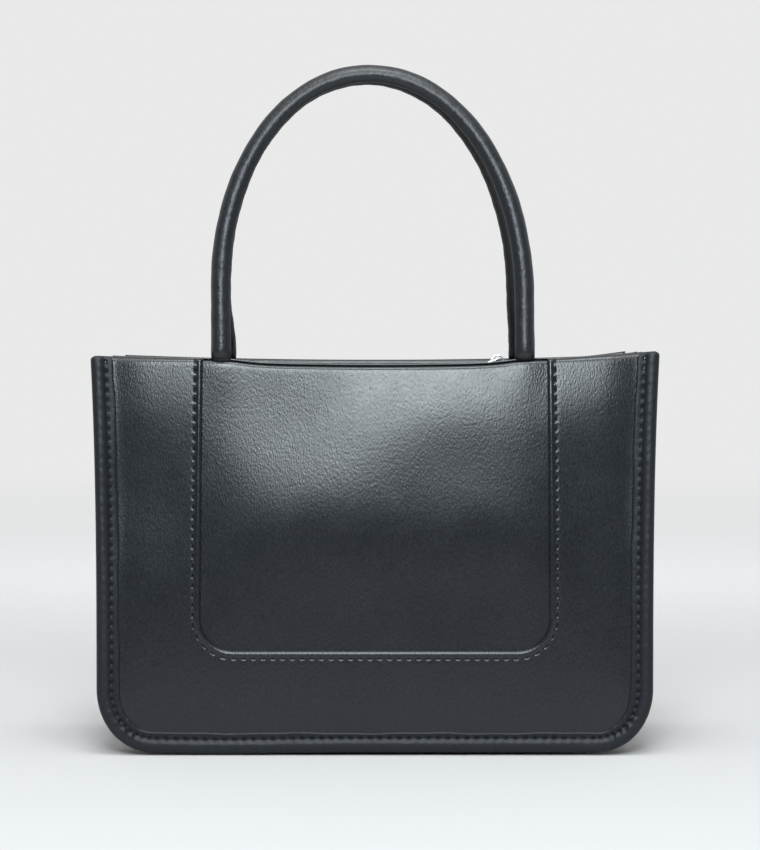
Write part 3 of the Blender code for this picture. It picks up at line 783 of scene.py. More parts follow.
def makeCenter(side, word):
    half = windowHalf + center["lap"]
    bottom = surround["windowBottom"] - center["lap"]
    length = bagHeight - bag["frontSag"] - bottom
    across = int(2 * half / center["spacing"])
    along = int(length / center["spacing"]) + center["extraRows"]

    def place(u, v):
        x = (v - 0.5) * 2 * half
        toSeam = length * mix(u ** center["rowPower"], u, center["evenRows"])
        return centerPoint(x, toSeam, side)

    bm = shapedGrid(across, along, place)
    dressSheet(
        f"{word}CenterPanel", bm, (0, side, 0), center["skin"], panelLeather, "leather",
        f"{word}_center_panel",
    )


# Binding: a soft strip folded round the seam of face and gusset, puckered by its stitches

binding = {
    # section as inset from the outline and depth behind the face, from the inner lip round the roll
    "section": [
        (0.0105, 0.00010), (0.0108, -0.00050), (0.0104, -0.00115), (0.0094, -0.00128),
        (0.0084, -0.00118), (0.0076, -0.00112), (0.0071, -0.00110), (0.0066, -0.00118),
        (0.0060, -0.00160), (0.0052, -0.00212), (0.0036, -0.00238), (0.0018, -0.00205),
        (0.0005, -0.00090), (0.0000, 0.00070), (0.0002, 0.00250), (0.0012, 0.00400),
        (0.0030, 0.00455), (0.0055, 0.00440), (0.0074, 0.00430), (0.0080, 0.00370),
        (0.0076, 0.00300), (0.0040, 0.00300), (0.0014, 0.00270), (0.0013, 0.00020),
        (0.0040, 0.00005), (0.0080, 0.00005),
    ],
    "sectionSteps": 2,
    "stationsPerStitch": 8,
    "stitchesAt": 0.0071,
    "stitchesProud": 0.00110,
    "slotWiden": 1.25,
    "slotLengthen": 0.75,
    # the painted shade beside a slot, this many times as wide as the slot
    "paintedShadeWiden": 1.4,
    "outside": 0.0003,        # what stands prouder than this is its outer side
    "rowEnds": 0.0030,
    "lockedFrom": 0.0045,     # extra stitches near each end, as when a seam is locked
    "locked": 3,
    "above": {front: 0.0006, back: -0.0006},     # stands this much above the mouth
    "endLength": 0.0024,      # it closes over this length, down to a share of its section
    "endShare": 0.35,
    "rub": 0.35,
    "rubDepth": 0.0024,       # worn lighter where it stands this proud
    "proudDepth": 0.0025,
    "pucker": 0.00007,        # between the stitches
    "puckerAt": 0.0052,
    "puckerWidth": 0.0026,
    "waver": 0.00016,         # slow unevenness of the roll
    "waverLength": 0.034,
    "lipWave": 0.00035,       # unevenness of its inner lip
    "lipWaveLength": 0.061,
    "lipAt": 0.0105,
    "lipWidth": 0.0020,
    "raised": 0.0011,         # the front one clears the floor by this much, but less near one place
    "raisedPhases": (1.0, 1.6),
    "raisedInsets": (0.0082, 0.0105),
    "restsAt": -0.071,
    "restWidth": 0.032,
    "restShare": 0.6,
    "gatherAt": 0.0066,
    "gatherReach": 0.0030,
    "gatherSlant": 0.5,
}

# gathers at the lower corners: distance from the corner's middle along the stitches, height, width
gathers = {
    -1: [(-0.0068, 0.0006, 0.0012), (-0.0012, 0.0009, 0.0013), (0.0052, 0.0005, 0.0011)],
    1: [
        (-0.0080, 0.0008, 0.0012),
        (-0.0036, 0.0006, 0.0010),
        (0.0016, 0.0010, 0.0014),
        (0.0070, 0.0006, 0.0011),
    ],
}
cornerMiddle = outline["flatHalf"] + outline["cornerLength"] / 2


def gatherRise(way, inset):
    total = 0.0
    slant = (inset - binding["stitchesAt"]) * binding["gatherSlant"]
    for hand, folds in gathers.items():
        for spot, height, width in folds:
            total = total + height * hump(hand * way - cornerMiddle - spot - slant, width)
    return total * hump(inset - binding["gatherAt"], binding["gatherReach"])


def bindingPoint(way, inset, depth, side):
    phase = phaseOf(way, outline)
    wave = binding["lipWave"] * wander(way, binding["lipWaveLength"], side)
    wide = inset + wave * hump(inset - binding["lipAt"], binding["lipWidth"])
    x, z, _ = uLine(phase, outline, wide, side, above=binding["above"][side])
    if side == front:
        low = 1 - ease(np.abs(phase), *binding["raisedPhases"])
        rest = binding["restShare"] * hump(x - binding["restsAt"], binding["restWidth"])
        z = z + low * binding["raised"] * (1 - rest) * (1 - ease(inset, *binding["raisedInsets"]))
    proud = np.clip(-depth / binding["proudDepth"], 0, 1)
    stitchPhase = np.cos(2 * math.pi * way / stitch["pitch"])
    pucker = binding["pucker"] * stitchPhase * hump(inset - binding["puckerAt"], binding["puckerWidth"])
    waver = binding["waver"] * wander(way, binding["waverLength"], 0.6 + side)
    lifted = proud * (pucker + waver + gatherRise(way, inset))
    off = inset - binding["stitchesAt"]
    dent = stitchDent(way, off, binding["slotWiden"], binding["slotLengthen"])
    dent = dent * (depth < -binding["outside"])
    y = side * (halfDepth(z) - depth + lifted - dent + swell(x, z, side))
    return x, y, z


def makeBinding(side, word):
    section = roundedLine(binding["section"], binding["sectionSteps"])
    section = np.vstack((section, section[:1]))
    knots = np.arange(len(section))
    middle = section[:-1].mean(axis=0)
    half = outline["half"]
    along = int(2 * half / stitch["pitch"]) * binding["stationsPerStitch"]

    def column(v):
        return [np.interp(v * knots[-1], knots, section[:, k]) for k in (0, 1)]

    def place(u, v):
        inset, depth = column(v)
        way = (u - 0.5) * 2 * half
        toEnd = np.clip((half - np.abs(way)) / binding["endLength"], 0, 1)
        fullness = mix(binding["endShare"], 1.0, np.sqrt(1 - (1 - toEnd) ** 2))
        inset = mix(middle[0], inset, fullness)
        depth = mix(middle[1], depth, fullness)
        return bindingPoint(way, inset, depth, side)

    def rub(u, v):
        return binding["rub"] * np.clip(-column(v)[1] / binding["rubDepth"], 0, 1) ** 3

    # painted shade in the stitch slots on its outer side
    def paintedShade(u, v):
        inset, depth = column(v)
        off = inset - binding["stitchesAt"]
        share = slotShare((u - 0.5) * 2 * half, off, binding["paintedShadeWiden"], binding["slotLengthen"])
        return (depth < -binding["outside"]) * share

    marks = {"rub": rub, "paintedShade": paintedShade}
    bm = shapedGrid(len(section) - 1, along, place, closed=True, marks=marks)
    piece = finishedPiece(f"{word}Binding", bm, edgeLeather, 70)
    dress(piece, "bag", "leather_edge", f"{word}_binding")

    def threadPlace(way):
        depth = stitch["threadSunk"] - binding["stitchesProud"]
        return bindingPoint(np.array(way), binding["stitchesAt"], depth, side)

    def normalAt(spot):
        return faceNormal(spot.z, side)

    ways = rowWays(half - binding["rowEnds"])
    last = half - binding["lockedFrom"]
    ways += [hand * (last - k * stitch["pitch"]) for k in range(binding["locked"]) for hand in (-1, 1)]
    stitchRow(f"{word}BindingStitches", ways, threadPlace, normalAt, "leather_edge")


# Gusset: one strip down the sides and under the base, folding in softly towards the mouth

gusset = {
    "fold": 0.0100,
    "foldPower": 2,
    "foldRound": 0.06,        # how round the fold's crease is, as a share of its half width
    "skin": 0.0011,
    "bow": 0.0016,            # its sides bow out, less low down
    "lowBow": 0.4,
    "uprightPhases": (1.6, 2.3),
    "cornerWrinkle": 0.00035,
    "cornerWrinkleLength": 0.016,
    "cornerWrinkleReach": 0.020,
    "wallWrinkle": 0.00030,
    "wallWrinkleLength": 0.047,
    "wallWrinkleSlant": 0.015,
    "quietPower": 6,          # no wrinkle or bow right beside the seams
    "hemRadius": 0.0009,
    "hemBelow": 0.0016,       # its hem lies this much under the mouth
    "hemStitches": 0.0052,
    "hemStitchCount": 11,
    "hemStitchReach": 0.9,
    "hemStitchEnds": (0.12, 0.88),
    "flanges": [0.0067, 0.0045, 0.0025, 0.0012, 0.0005],
    "wallShare": 0.992,       # how far out the wall's last columns stand
    "wallColumns": 44,
    "stations": 420,
}


def foldIn(z, across):
    depth = gusset["fold"] * np.clip(z / bagHeight, 0, 1) ** gusset["foldPower"]
    soft = gusset["foldRound"] ** 2
    return depth * (1 - np.sqrt(across ** 2 + soft) / math.sqrt(1 + soft))


def movedIn(phase, x, z, inward):
    # a place on the strip, moved inward square to it
    turn = np.clip(np.abs(phase) - 1, 0, 1) * halfTurn
    return x - np.sign(phase) * inward * np.sin(turn), z + inward * np.cos(turn)


def gussetPoint(way, across, flange):
    # across is -1 at the front face and 1 at the back; flange is how far out along a face
    phase = phaseOf(way, outline)
    inset = layers["gusset"] - flange
    x, z, deeper = uLine(phase, outline, inset, back, gusset["hemRadius"], above=-gusset["hemBelow"])
    upright = ease(np.abs(phase), *gusset["uprightPhases"])
    folded = foldIn(z, across) * (flange <= 0)
    bow = gusset["bow"] * np.sin(math.pi * np.abs(across)) ** 2
    bow = bow * upright * mix(gusset["lowBow"], 1.0, z / bagHeight)
    byCorner = hump(np.abs(way) - cornerMiddle, gusset["cornerWrinkleReach"])
    wrinkle = gusset["cornerWrinkle"] * wander(way, gusset["cornerWrinkleLength"], 0.4) * byCorner
    slanted = z + gusset["wallWrinkleSlant"] * across
    onWall = wander(slanted, gusset["wallWrinkleLength"], 1.1) * upright
    wrinkle = wrinkle + gusset["wallWrinkle"] * onWall
    quiet = 1 - across ** gusset["quietPower"]
    x, z = movedIn(phase, x, z, folded - (bow + wrinkle) * quiet + deeper)
    return x, across * (halfDepth(z) - layers["flangeBack"]), z


def makeGusset():
    # columns: the front flange, the wall, the back flange
    flanges = gusset["flanges"]
    columns = gusset["wallColumns"]
    wall = [(-1 + 2 * k / columns) * gusset["wallShare"] for k in range(columns + 1)]
    across = [-1.0] * len(flanges) + wall + [1.0] * len(flanges)
    out = flanges + [0.0] * len(wall) + flanges[::-1]
    knots = np.arange(len(across))

    def place(u, v):
        column = v * knots[-1]
        way = (u - 0.5) * 2 * outline["half"]
        return gussetPoint(way, np.interp(column, knots, across), np.interp(column, knots, out))

    bm = shapedGrid(len(across) - 1, gusset["stations"], place)
    dressSheet("gussetStrip", bm, (0, 0, -1), gusset["skin"], panelLeather, "leather", "gusset")

    bm = bmesh.new()
    reach = gusset["hemStitchReach"]
    count = gusset["hemStitchCount"]
    for hand in (-1, 1):
        way = np.array(hand * (outline["half"] - gusset["hemStitches"]))
        for k in range(count):
            shares = [mix(-reach, reach, (k + end) / count) for end in gusset["hemStitchEnds"]]
            ends = [placed(gussetPoint(way, np.array(share), 0.0)) for share in shares]
            layStitch(bm, *ends, Vector((hand, 0, 0)))
    dress(finishedPiece("gussetHemStitches", bm, thread, 180), "bag", "leather")


# Facing inside the mouth, linings and the slip pocket

inside = {
    "gap": 0.0003,            # between neighbours
    "facingDepth": 0.0350,
    "facingSkin": 0.0009,
    "facingGrid": (150, 34),
    "facingWave": 0.0002,
    "facingWaveLength": 0.070,
    "facingWaveDrops": (0.002, 0.020),
    "cornerReach": 0.0009,    # its top edge runs this much further, over the board's corners
    "liningSkin": 0.0005,
    "liningGrid": (70, 120),
    "liningDeeper": 0.0006,   # than the facing's depth
    "liningWave": 0.0005,
    "liningWaveLength": 0.050,
    "liningWaveSlant": 0.4,
    "gussetLiningGrid": (36, 300),
    "gussetLiningDrop": 0.0120,
    "gussetLiningPhases": (1.7, 2.3),   # from over the base board to up the gusset
    "liningInset": 0.0122,    # over the base board
    "wallInset": 0.0104,      # up the gusset
    "looseness": 0.0005,      # of the gusset's lining
    "loosenessLength": 0.030,
    "pocketGrid": (48, 72),
    "pocketWidth": 0.1200,
    "pocketBottom": 0.0450,
    "pocketTop": 0.1250,
    "pocketDeeper": 0.0012,
    "pocketGape": 0.0016,
    "pocketWave": 0.0003,
    "pocketWaveLength": 0.043,
}


def makeTopFacing(side, word):
    nose = layers["nose"]
    flat = layers["inside"] - layers["seam"] - nose
    length = inside["facingDepth"] + (halfTurn - 1) * nose + flat

    def place(u, v):
        drop, deeper = rollOver(length * u, nose, flat)
        across = (v - 0.5) * 2
        x = across * (topWidth / 2 - layers["innerEdge"])
        z = mouthHeight(x, side) - drop
        reach = inside["cornerReach"] * deeper / (nose + flat)
        x = across * (halfWidth(z) - layers["innerEdge"] + reach)
        wave = inside["facingWave"] * wander(x, inside["facingWaveLength"], side)
        soft = wave * ease(drop, *inside["facingWaveDrops"])
        return facePoint(x, z, layers["inside"] - deeper - soft, side, 0.0)

    dressSheet(
        f"{word}TopFacing", shapedGrid(*inside["facingGrid"], place), (0, -side, 0),
        inside["facingSkin"], panelLeather, "leather", f"{word}_top_facing",
    )


def makeLining(side, word):
    top = bagHeight - inside["facingDepth"] - inside["gap"]

    def place(u, v):
        across = (u - 0.5) * 2
        z = mix(inside["liningInset"], top, v)
        lowTurn = np.clip((bag["cornerRise"] - z) / (bag["cornerRise"] - inside["liningInset"]), 0, 1)
        edge = halfWidth(z) - layers["innerEdge"]
        cut = (bag["cornerRun"] - layers["innerEdge"]) * (1 - np.sqrt(1 - lowTurn ** 2))
        x = across * (edge - cut)
        wave = wander(x + inside["liningWaveSlant"] * z, inside["liningWaveLength"], side)
        soft = inside["liningWave"] * wave * np.sin(math.pi * v)
        return facePoint(x, z, layers["facing"] + inside["liningDeeper"] + soft, side, 0.0)

    dressSheet(
        f"{word}LiningPanel", shapedGrid(*inside["liningGrid"], place), (0, -side, 0),
        inside["liningSkin"], liningCloth, "lining", f"{word}_lining",
    )


def makeGussetLining():
    topZ = bagHeight - inside["gussetLiningDrop"]

    def place(u, v):
        way = (u - 0.5) * 2 * outline["half"]
        phase = phaseOf(way, outline)
        across = (v - 0.5) * 2
        upward = ease(np.abs(phase), *inside["gussetLiningPhases"])
        inset = mix(inside["liningInset"], inside["wallInset"], upward)
        x, z, _ = uLine(phase, outline, inset, back)
        loose = inside["looseness"] * (1 + wander(way, inside["loosenessLength"], 0.5))
        x, z = movedIn(phase, x, z, foldIn(z, across) + loose * (1 - across ** 4))
        z = np.minimum(z, topZ)
        return x, across * (halfDepth(z) - layers["inside"] - inside["gap"]), z

    bm = shapedGrid(*inside["gussetLiningGrid"], place)
    bmesh.ops.remove_doubles(bm, verts=bm.verts, dist=1e-6)
    dressSheet(
        "gussetLiningStrip", bm, (0, 0, 1), inside["liningSkin"], liningCloth, "lining", "gusset_lining"
    )


def makePocket():
    def place(u, v):
        x = (u - 0.5) * inside["pocketWidth"]
        z = mix(inside["pocketBottom"], inside["pocketTop"], v)
        gape = inside["pocketGape"] * np.sin(math.pi * u) * v ** 2
        soft = inside["pocketWave"] * wander(x, inside["pocketWaveLength"], 0.3)
        return facePoint(x, z, layers["facing"] + inside["pocketDeeper"] + gape + soft, back, 0.0)

    dressSheet(
        "slipPocket", shapedGrid(*inside["pocketGrid"], place), (0, -1, 0), inside["liningSkin"],
        liningCloth, "lining", "slip_pocket",
    )


# Handles: a leather tube round a cord, flattened where it goes down between the layers of the wall

joints = {joint["name"]: joint for joint in frame["joints"]}
handle = {
    "radius": 0.00475,
    "middleX": -0.0014,
    "skew": -0.0013,
    "rise": 0.1359,
    "straight": 0.0275,
    "archPower": 2.04,
    "backShift": -0.0014,     # the back handle's arch stands this much further left than its legs
    "backSpread": 0.0008,     # its left leg bows outward, over this share of the arch
    "backSpreadShare": 0.45,
    "frontIn": 0.0009,        # the front handle's left leg stands this much further in at its base
    "frontInShares": (0.40, 0.50),
    "stations": 300,
    "archPoints": 801,
    "legPoints": 80,
    "sides": 28,
    "archGap": 0.00015,       # each arch stays this far off the middle plane at the top
    "tabHalfWidth": 0.0064,
    "tabHalfThickness": 0.0008,
    "tabDepth": 0.0300,
    "pinch": 0.0014,          # half thickness where the leather enters the mouth
    "pinchHeight": 0.0032,
    "flatFrom": 0.0010,       # it goes flat from this much over the mouth to this much under it
    "flatTo": 0.0100,
    "archThinning": 0.05,     # the leather is drawn tighter over the arch
    "archHeights": (0.040, 0.120),
    "seamDepth": 0.0005,
    "seamWidth": 0.16,        # radians
    "seamLip": 0.00018,       # a low ridge on either side of the seam
    "seamLipAt": 0.42,
    "seamLipWidth": 0.22,
    "seamStitchPitch": 0.0040,
    "seamStitchHalf": 0.0014,
    "seamStitchLean": 0.25,
    "seamProbe": 0.0010,      # a place this far off the seam tells which way it faces
    "seamStart": 0.0260,      # over the tab
    # painted shade along the seam groove, and how far round it reaches in radians
    "seamPaintedShade": 0.7,
    "seamPaintedShadeWidth": 0.45,
    "rub": 0.25,              # worn lighter on the outer side
    "pucker": 0.00009,
    "puckerLength": 0.0085,
    "outerPucker": 0.3,       # its share on the outer side of the arch
    "wave": 0.00012,
    "waveLength": 0.038,
    "blendBelow": 0.0050,
    "blendAbove": 0.0120,
}
handleLegs = [handle["middleX"] + hand * bag["legSpacing"] / 2 for hand in (-1, 1)]


def handlePivot(word):
    return Vector(joints[f"{word}_handle_swing"]["pos_m"])


def handleLean(word):
    pivot = handlePivot(word)
    reach = abs(pivot.y) - handle["radius"] - handle["archGap"]
    return math.asin(reach / handle["rise"])


def archLine(share, side):
    # share 0 to 1 from the left pivot to the right one, in the handle's own plane
    turn = math.pi * share
    power = 2 / handle["archPower"]
    across = -np.sign(np.cos(turn)) * np.abs(np.cos(turn)) ** power * bag["legSpacing"] / 2
    up = np.abs(np.sin(turn)) ** power
    x = handle["middleX"] + handle["skew"] * up + across
    if side == back:
        x = x - handle["backSpread"] * ease(0.5 - share, 0.0, handle["backSpreadShare"])
        x = x + handle["backShift"]
    else:
        x = x + 0.5 * handle["frontIn"] * ease(0.5 - share, *handle["frontInShares"])
    return x, handle["straight"] + (handle["rise"] - handle["straight"]) * up


def handlePath(side, word):
    # evenly spaced points from the left tab's lower end to the right one's: x, height over the pivot
    x, up = archLine(np.linspace(0, 1, handle["archPoints"]), side)
    depth = handle["tabDepth"] + handlePivot(word).z - bagHeight + bag["frontSag"]
    legs = np.linspace(-depth, handle["straight"], handle["legPoints"])[:-1]
    bend = ease(legs, 0.0, handle["straight"])
    leftBase = handleLegs[0] + (handle["frontIn"] if side == front else 0)
    leftLeg = mix(leftBase, x[0], bend)
    rightLeg = mix(handleLegs[1], x[-1], bend)
    x = np.concatenate((leftLeg, x, rightLeg[::-1]))
    up = np.concatenate((legs, up, legs[::-1]))
    way = np.concatenate(([0], np.cumsum(np.hypot(np.diff(x), np.diff(up)))))
    even = np.linspace(0, way[-1], handle["stations"] + 1)
    return np.interp(even, way, x), np.interp(even, way, up), even


def makeHandle(side, word):
    pivot = handlePivot(word)
    lean = handleLean(word)
    pathX, pathUp, ways = handlePath(side, word)
    path = (pathX, pathUp, -np.gradient(pathUp, ways), np.gradient(pathX, ways), ways)
    index = np.arange(len(pathX))
    mouth = float(mouthHeight(handleLegs[0], side)) - pivot.z

    def spot(station, turn, lift=0.0):
        # turn 0 is the outer side of the arch and pi its inner side
        x, up, outX, outUp, way = [np.interp(station, index, values) for values in path]
        toFull = np.clip((up - mouth) / handle["pinchHeight"], 0, 1)
        roundness = np.sqrt(1 - (1 - toFull) ** 2)
        flat = 1 - ease(up, mouth - handle["flatTo"], mouth + handle["flatFrom"])
        radius = handle["radius"] * (1 - handle["archThinning"] * ease(up, *handle["archHeights"]))
        thick = mix(handle["pinch"], radius, roundness)
        thick = mix(thick, handle["tabHalfThickness"], flat)
        wide = mix(radius, handle["tabHalfWidth"], flat)
        offSeam = np.abs(turn - math.pi)
        seam = handle["seamDepth"] * hump(offSeam, handle["seamWidth"])
        seam = seam - handle["seamLip"] * hump(offSeam - handle["seamLipAt"], handle["seamLipWidth"])
        pucker = handle["pucker"] * wander(way, handle["puckerLength"], 0.7 * side)
        pucker = pucker * mix(handle["outerPucker"], 1.0, np.sin(turn / 2) ** 2)
        soft = handle["wave"] * wander(way, handle["waveLength"], 0.9)
        grow = (pucker + soft - seam) * roundness + lift
        a = (wide + grow) * np.cos(turn)
        b = (thick + grow) * np.sin(turn)
        inPlane = up + a * outUp
        y = pivot.y - side * (np.maximum(inPlane, 0) * math.sin(lean) + b * math.cos(lean))
        z = pivot.z + np.where(inPlane > 0, inPlane * math.cos(lean), inPlane)
        return x + a * outX, y, z

    def place(u, v):
        return spot(u * index[-1], v * 2 * math.pi)

    def rub(u, v):
        return handle["rub"] * np.cos(v * math.pi) ** 6

    # painted shade along the seam groove on the arch's inner side
    def paintedShade(u, v):
        return handle["seamPaintedShade"] * hump((v - 0.5) * 2 * math.pi, handle["seamPaintedShadeWidth"])

    marks = {"rub": rub, "paintedShade": paintedShade}
    bm = shapedGrid(handle["sides"], handle["stations"], place, closed=True, marks=marks)
    piece = finishedPiece(f"{word}Handle", bm, handleLeather, 60)
    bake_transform(piece)
    tabs = [f"{word}_handle_tab_{hand}" for hand in ("left", "right")]
    dress(piece, None, "leather", f"{word}_handle_cover", f"{word}_handle_core", *tabs)

    def seamSpot(way, lift=0.0):
        return placed(spot(np.interp(way, ways, index), math.pi, lift))

    bm = bmesh.new()
    first = handle["tabDepth"] + handle["seamStart"]
    reach = handle["seamStitchHalf"]
    count = int((ways[-1] - 2 * first) / handle["seamStitchPitch"])
    for k in range(count):
        middle = first + (k + 0.5) * handle["seamStitchPitch"]
        ends = [seamSpot(middle + hand * reach) for hand in (-1, 1)]
        normal = (seamSpot(middle, handle["seamProbe"]) - (ends[0] + ends[1]) / 2).normalized()
        layStitch(bm, *ends, normal, handle["seamStitchLean"])
    dress(finishedPiece(f"{word}HandleStitches", bm, thread, 180), f"{word}_handle", "leather")


# Zip: leather facings, woven tapes, metal teeth, stops, slider and pull

zipper = {
    "facingGrid": (48, 120),
    "facingSkin": 0.0004,
    "facingWave": 0.0002,
    "facingWaveLength": 0.041,
    "droop": 0.0009,
    "bendWidth": 0.0022,      # its bend from the wall to level is rounded over this, by this much
    "bendDown": 0.0008,
    "bendIn": 0.0006,
    "turnedUnder": 0.0060,
    "hem": 0.0006,
    "hemSteepness": 1.2,
    "stitchPitch": 0.0034,
    "stitchHalf": 0.0013,
    "stitchSunk": 0.00005,
    "stitchesFromEdge": 0.0022,
    "stitchesFromEnds": 0.0030,
    "tapeGrid": (28, 150),
    "tapeHidden": 0.0040,     # how much further the tape runs under its facing
    "tapeSpread": 0.62,       # how flat its section is, across and upwards
    "tapeSquareness": 1.4,
    "tapeRipple": 0.00012,
    "tapeRippleLength": 0.019,
    "toothPitch": 0.0032,
    "toothLength": 0.0013,
    "toothReach": 0.0009,
    "toothRoot": 0.0030,
    "toothBevel": 0.00025,
    "headLength": 0.80,       # of its root's length and height
    "headHeight": 0.66,
    "sliderInside": 0.0033,   # the teeth end this far inside the slider's end
    "stopBevel": 0.0004,
    "cordRadius": 0.0007,
    "cordWidth": 0.0012,
    "cordShare": 0.6,
    "firstTooth": 0.0003,     # gap between the bottom stop and the first tooth
    "keep": 0.85,
    "openTurn": 12,           # degrees: the slant along which an open zip's rows part
}


def makeZipFacing(side, word):
    low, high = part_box(f"zip_facing_{word}")
    wall = low.y if side == front else high.y
    edge = high.y if side == front else low.y
    leg = high.z - low.z
    level = abs(wall - edge)
    total = leg + level

    def place(u, v):
        x = mix(low.x, high.x, u)
        way = v * (total + zipper["turnedUnder"])
        onLeg = np.clip(leg - way, 0, None)
        out = np.clip(way - leg, 0, level)
        under = np.clip(way - total, 0, None)
        soften = hump(way - leg, zipper["bendWidth"])
        wave = zipper["facingWave"] * wander(x, zipper["facingWaveLength"], side)
        droop = zipper["droop"] * np.sin(math.pi * out / level) + wave * out / level
        z = high.z - onLeg - zipper["bendDown"] * soften - droop
        z = z - np.where(under > 0, np.minimum(under, zipper["hem"]) * zipper["hemSteepness"], 0)
        inward = out - np.clip(under - zipper["hem"], 0, None)
        inward = inward + zipper["bendIn"] * soften * (way < leg)
        slope = np.where(way < leg, halfDepth(z) - halfDepth(high.z), 0)
        return x, wall - side * inward + side * slope, z

    dressSheet(
        f"{word}ZipFacing", shapedGrid(*zipper["facingGrid"], place), (0, 0, 1), zipper["facingSkin"],
        panelLeather, "leather", f"zip_facing_{word}",
    )

    bm = bmesh.new()
    y = edge + side * zipper["stitchesFromEdge"]
    z = high.z - zipper["stitchSunk"]
    count = int((high.x - low.x - 2 * zipper["stitchesFromEnds"]) / zipper["stitchPitch"])
    for k in range(count):
        x = (k + 0.5 - count / 2) * zipper["stitchPitch"]
        ends = [Vector((x + hand * zipper["stitchHalf"], y, z)) for hand in (-1, 1)]
        layStitch(bm, *ends, Vector((0, 0, 1)))
    dress(finishedPiece(f"{word}ZipFacingStitches", bm, thread, 180), "bag", "leather")


def partAlong(piece):
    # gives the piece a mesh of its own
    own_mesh(piece)


def makeTape(side, word):
    low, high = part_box(f"zip_tape_{word}")
    inner = min(abs(low.y), abs(high.y))
    outer = max(abs(low.y), abs(high.y)) + zipper["tapeHidden"]
    thickness = high.z - low.z
    middle = (low.z + high.z) / 2

    def place(u, v):
        turn = v * 2 * math.pi
        flat = np.clip(0.5 + zipper["tapeSpread"] * np.cos(turn), 0, 1)
        rise = np.clip(zipper["tapeSquareness"] * np.sin(turn), -1, 1) * thickness / 2
        byCord = hump((1 - flat) * (outer - inner), zipper["cordWidth"])
        cord = zipper["cordRadius"] * np.sin(turn) * byCord * zipper["cordShare"]
        x = mix(low.x, high.x, u)
        y = side * mix(outer, inner, flat)
        ripple = zipper["tapeRipple"] * wander(x, zipper["tapeRippleLength"], side) * (1 - flat)
        return x, y, middle + rise + cord + ripple

    bm = shapedGrid(*zipper["tapeGrid"], place, closed=True)
    piece = finishedPiece(f"{word}ZipTape", bm, tapeCloth, 50)
    dress(piece, "bag", "tape", f"zip_tape_{word}")
    partAlong(piece)


def breakEdges(bm, corners, width, segments):
    edges = {e for v in corners for e in v.link_edges}
    bevel(bm, list(edges), width, segments)


def addTooth(bm, x, side, low, high):
    # a leg clamped on the tape's cord and a head that reaches past the middle
    size = zipper["toothLength"]
    inner = -zipper["toothReach"]
    outer = zipper["toothRoot"]
    made = bmesh.ops.create_cube(bm, size=1)["verts"]
    bmesh.ops.scale(bm, verts=made, vec=(size, outer - inner, high - low))
    for v in made:
        if side * v.co.y < 0:
            v.co.x *= zipper["headLength"]
            v.co.z *= zipper["headHeight"]
    middle = Vector((x + size / 2, side * (inner + outer) / 2, (low + high) / 2))
    bmesh.ops.translate(bm, verts=made, vec=middle)
    breakEdges(bm, made, zipper["toothBevel"], 1)


def makeTeeth(side, word):
    low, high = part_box(f"zip_teeth_{word}")
    pitch = zipper["toothPitch"]
    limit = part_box("zip_slider")[1].x - zipper["sliderInside"]
    bm = bmesh.new()
    x = low.x + zipper["firstTooth"] + (pitch / 2 if side == back else 0)
    while x + zipper["toothLength"] < limit:
        addTooth(bm, x, side, low.z, high.z)
        x += pitch
    stopLow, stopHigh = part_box(f"zip_top_stop_{word}")
    made = bmesh.ops.create_cube(bm, size=1)["verts"]
    bmesh.ops.scale(bm, verts=made, vec=stopHigh - stopLow)
    bmesh.ops.translate(bm, verts=made, vec=(stopHigh + stopLow) / 2)
    breakEdges(bm, made, zipper["stopBevel"], 3)
    piece = finishedPiece(f"{word}ZipTeeth", bm, nickel, 30)
    dress(piece, "bag", "nickel", f"zip_teeth_{word}", f"zip_top_stop_{word}")
    partAlong(piece)


metal = {
    "sameFlat": 1,            # degrees
    "sharpFrom": 28,
    "sliderBevel": 0.00016,
    "pullBevel": 0.00018,
}


def softenedCopy(node, name, width, body):
    # a metal piece with its edges broken, as tumbled castings have
    bm = bmesh.new()
    bm.from_mesh(frame["nodes"][node].data)
    bmesh.ops.remove_doubles(bm, verts=bm.verts, dist=1e-6)
    limit = math.radians(metal["sameFlat"])
    bmesh.ops.dissolve_limit(bm, angle_limit=limit, verts=bm.verts, edges=bm.edges)
    sharp = math.radians(metal["sharpFrom"])
    edges = [e for e in bm.edges if e.is_manifold and e.calc_face_angle() > sharp]
    bevel(bm, edges, width, 2, clamped=True)
    dress(finishedPiece(name, bm, nickel), body, "nickel", node)


# Build everything

for side, word in ((front, "front"), (back, "back")):
    makeSurround(side, word)
    makeCenter(side, word)
    makeBinding(side, word)
    makeTopFacing(side, word)
    makeLining(side, word)
    print(f"{word} wall made")
    makeHandle(side, word)
    makeZipFacing(side, word)
    makeTape(side, word)
    makeTeeth(side, word)
    print(f"{word} handle and zip rows made")
makeGusset()
makeGussetLining()
makePocket()
softenedCopy("zip_slider", "zipSlider", metal["sliderBevel"], "slider")
softenedCopy("zip_pull", "zipPull", metal["pullBevel"], "pull")
softenedCopy("zip_bottom_stop", "zipBottomStop", zipper["stopBevel"], "bag")
for name in ("front_stiffener_board", "back_stiffener_board", "base_board"):
    frame["nodes"][name].data.materials.clear()
    frame["nodes"][name].data.materials.append(fibreBoard)
print("gusset, lining and metal made")


# Floor, light and camera

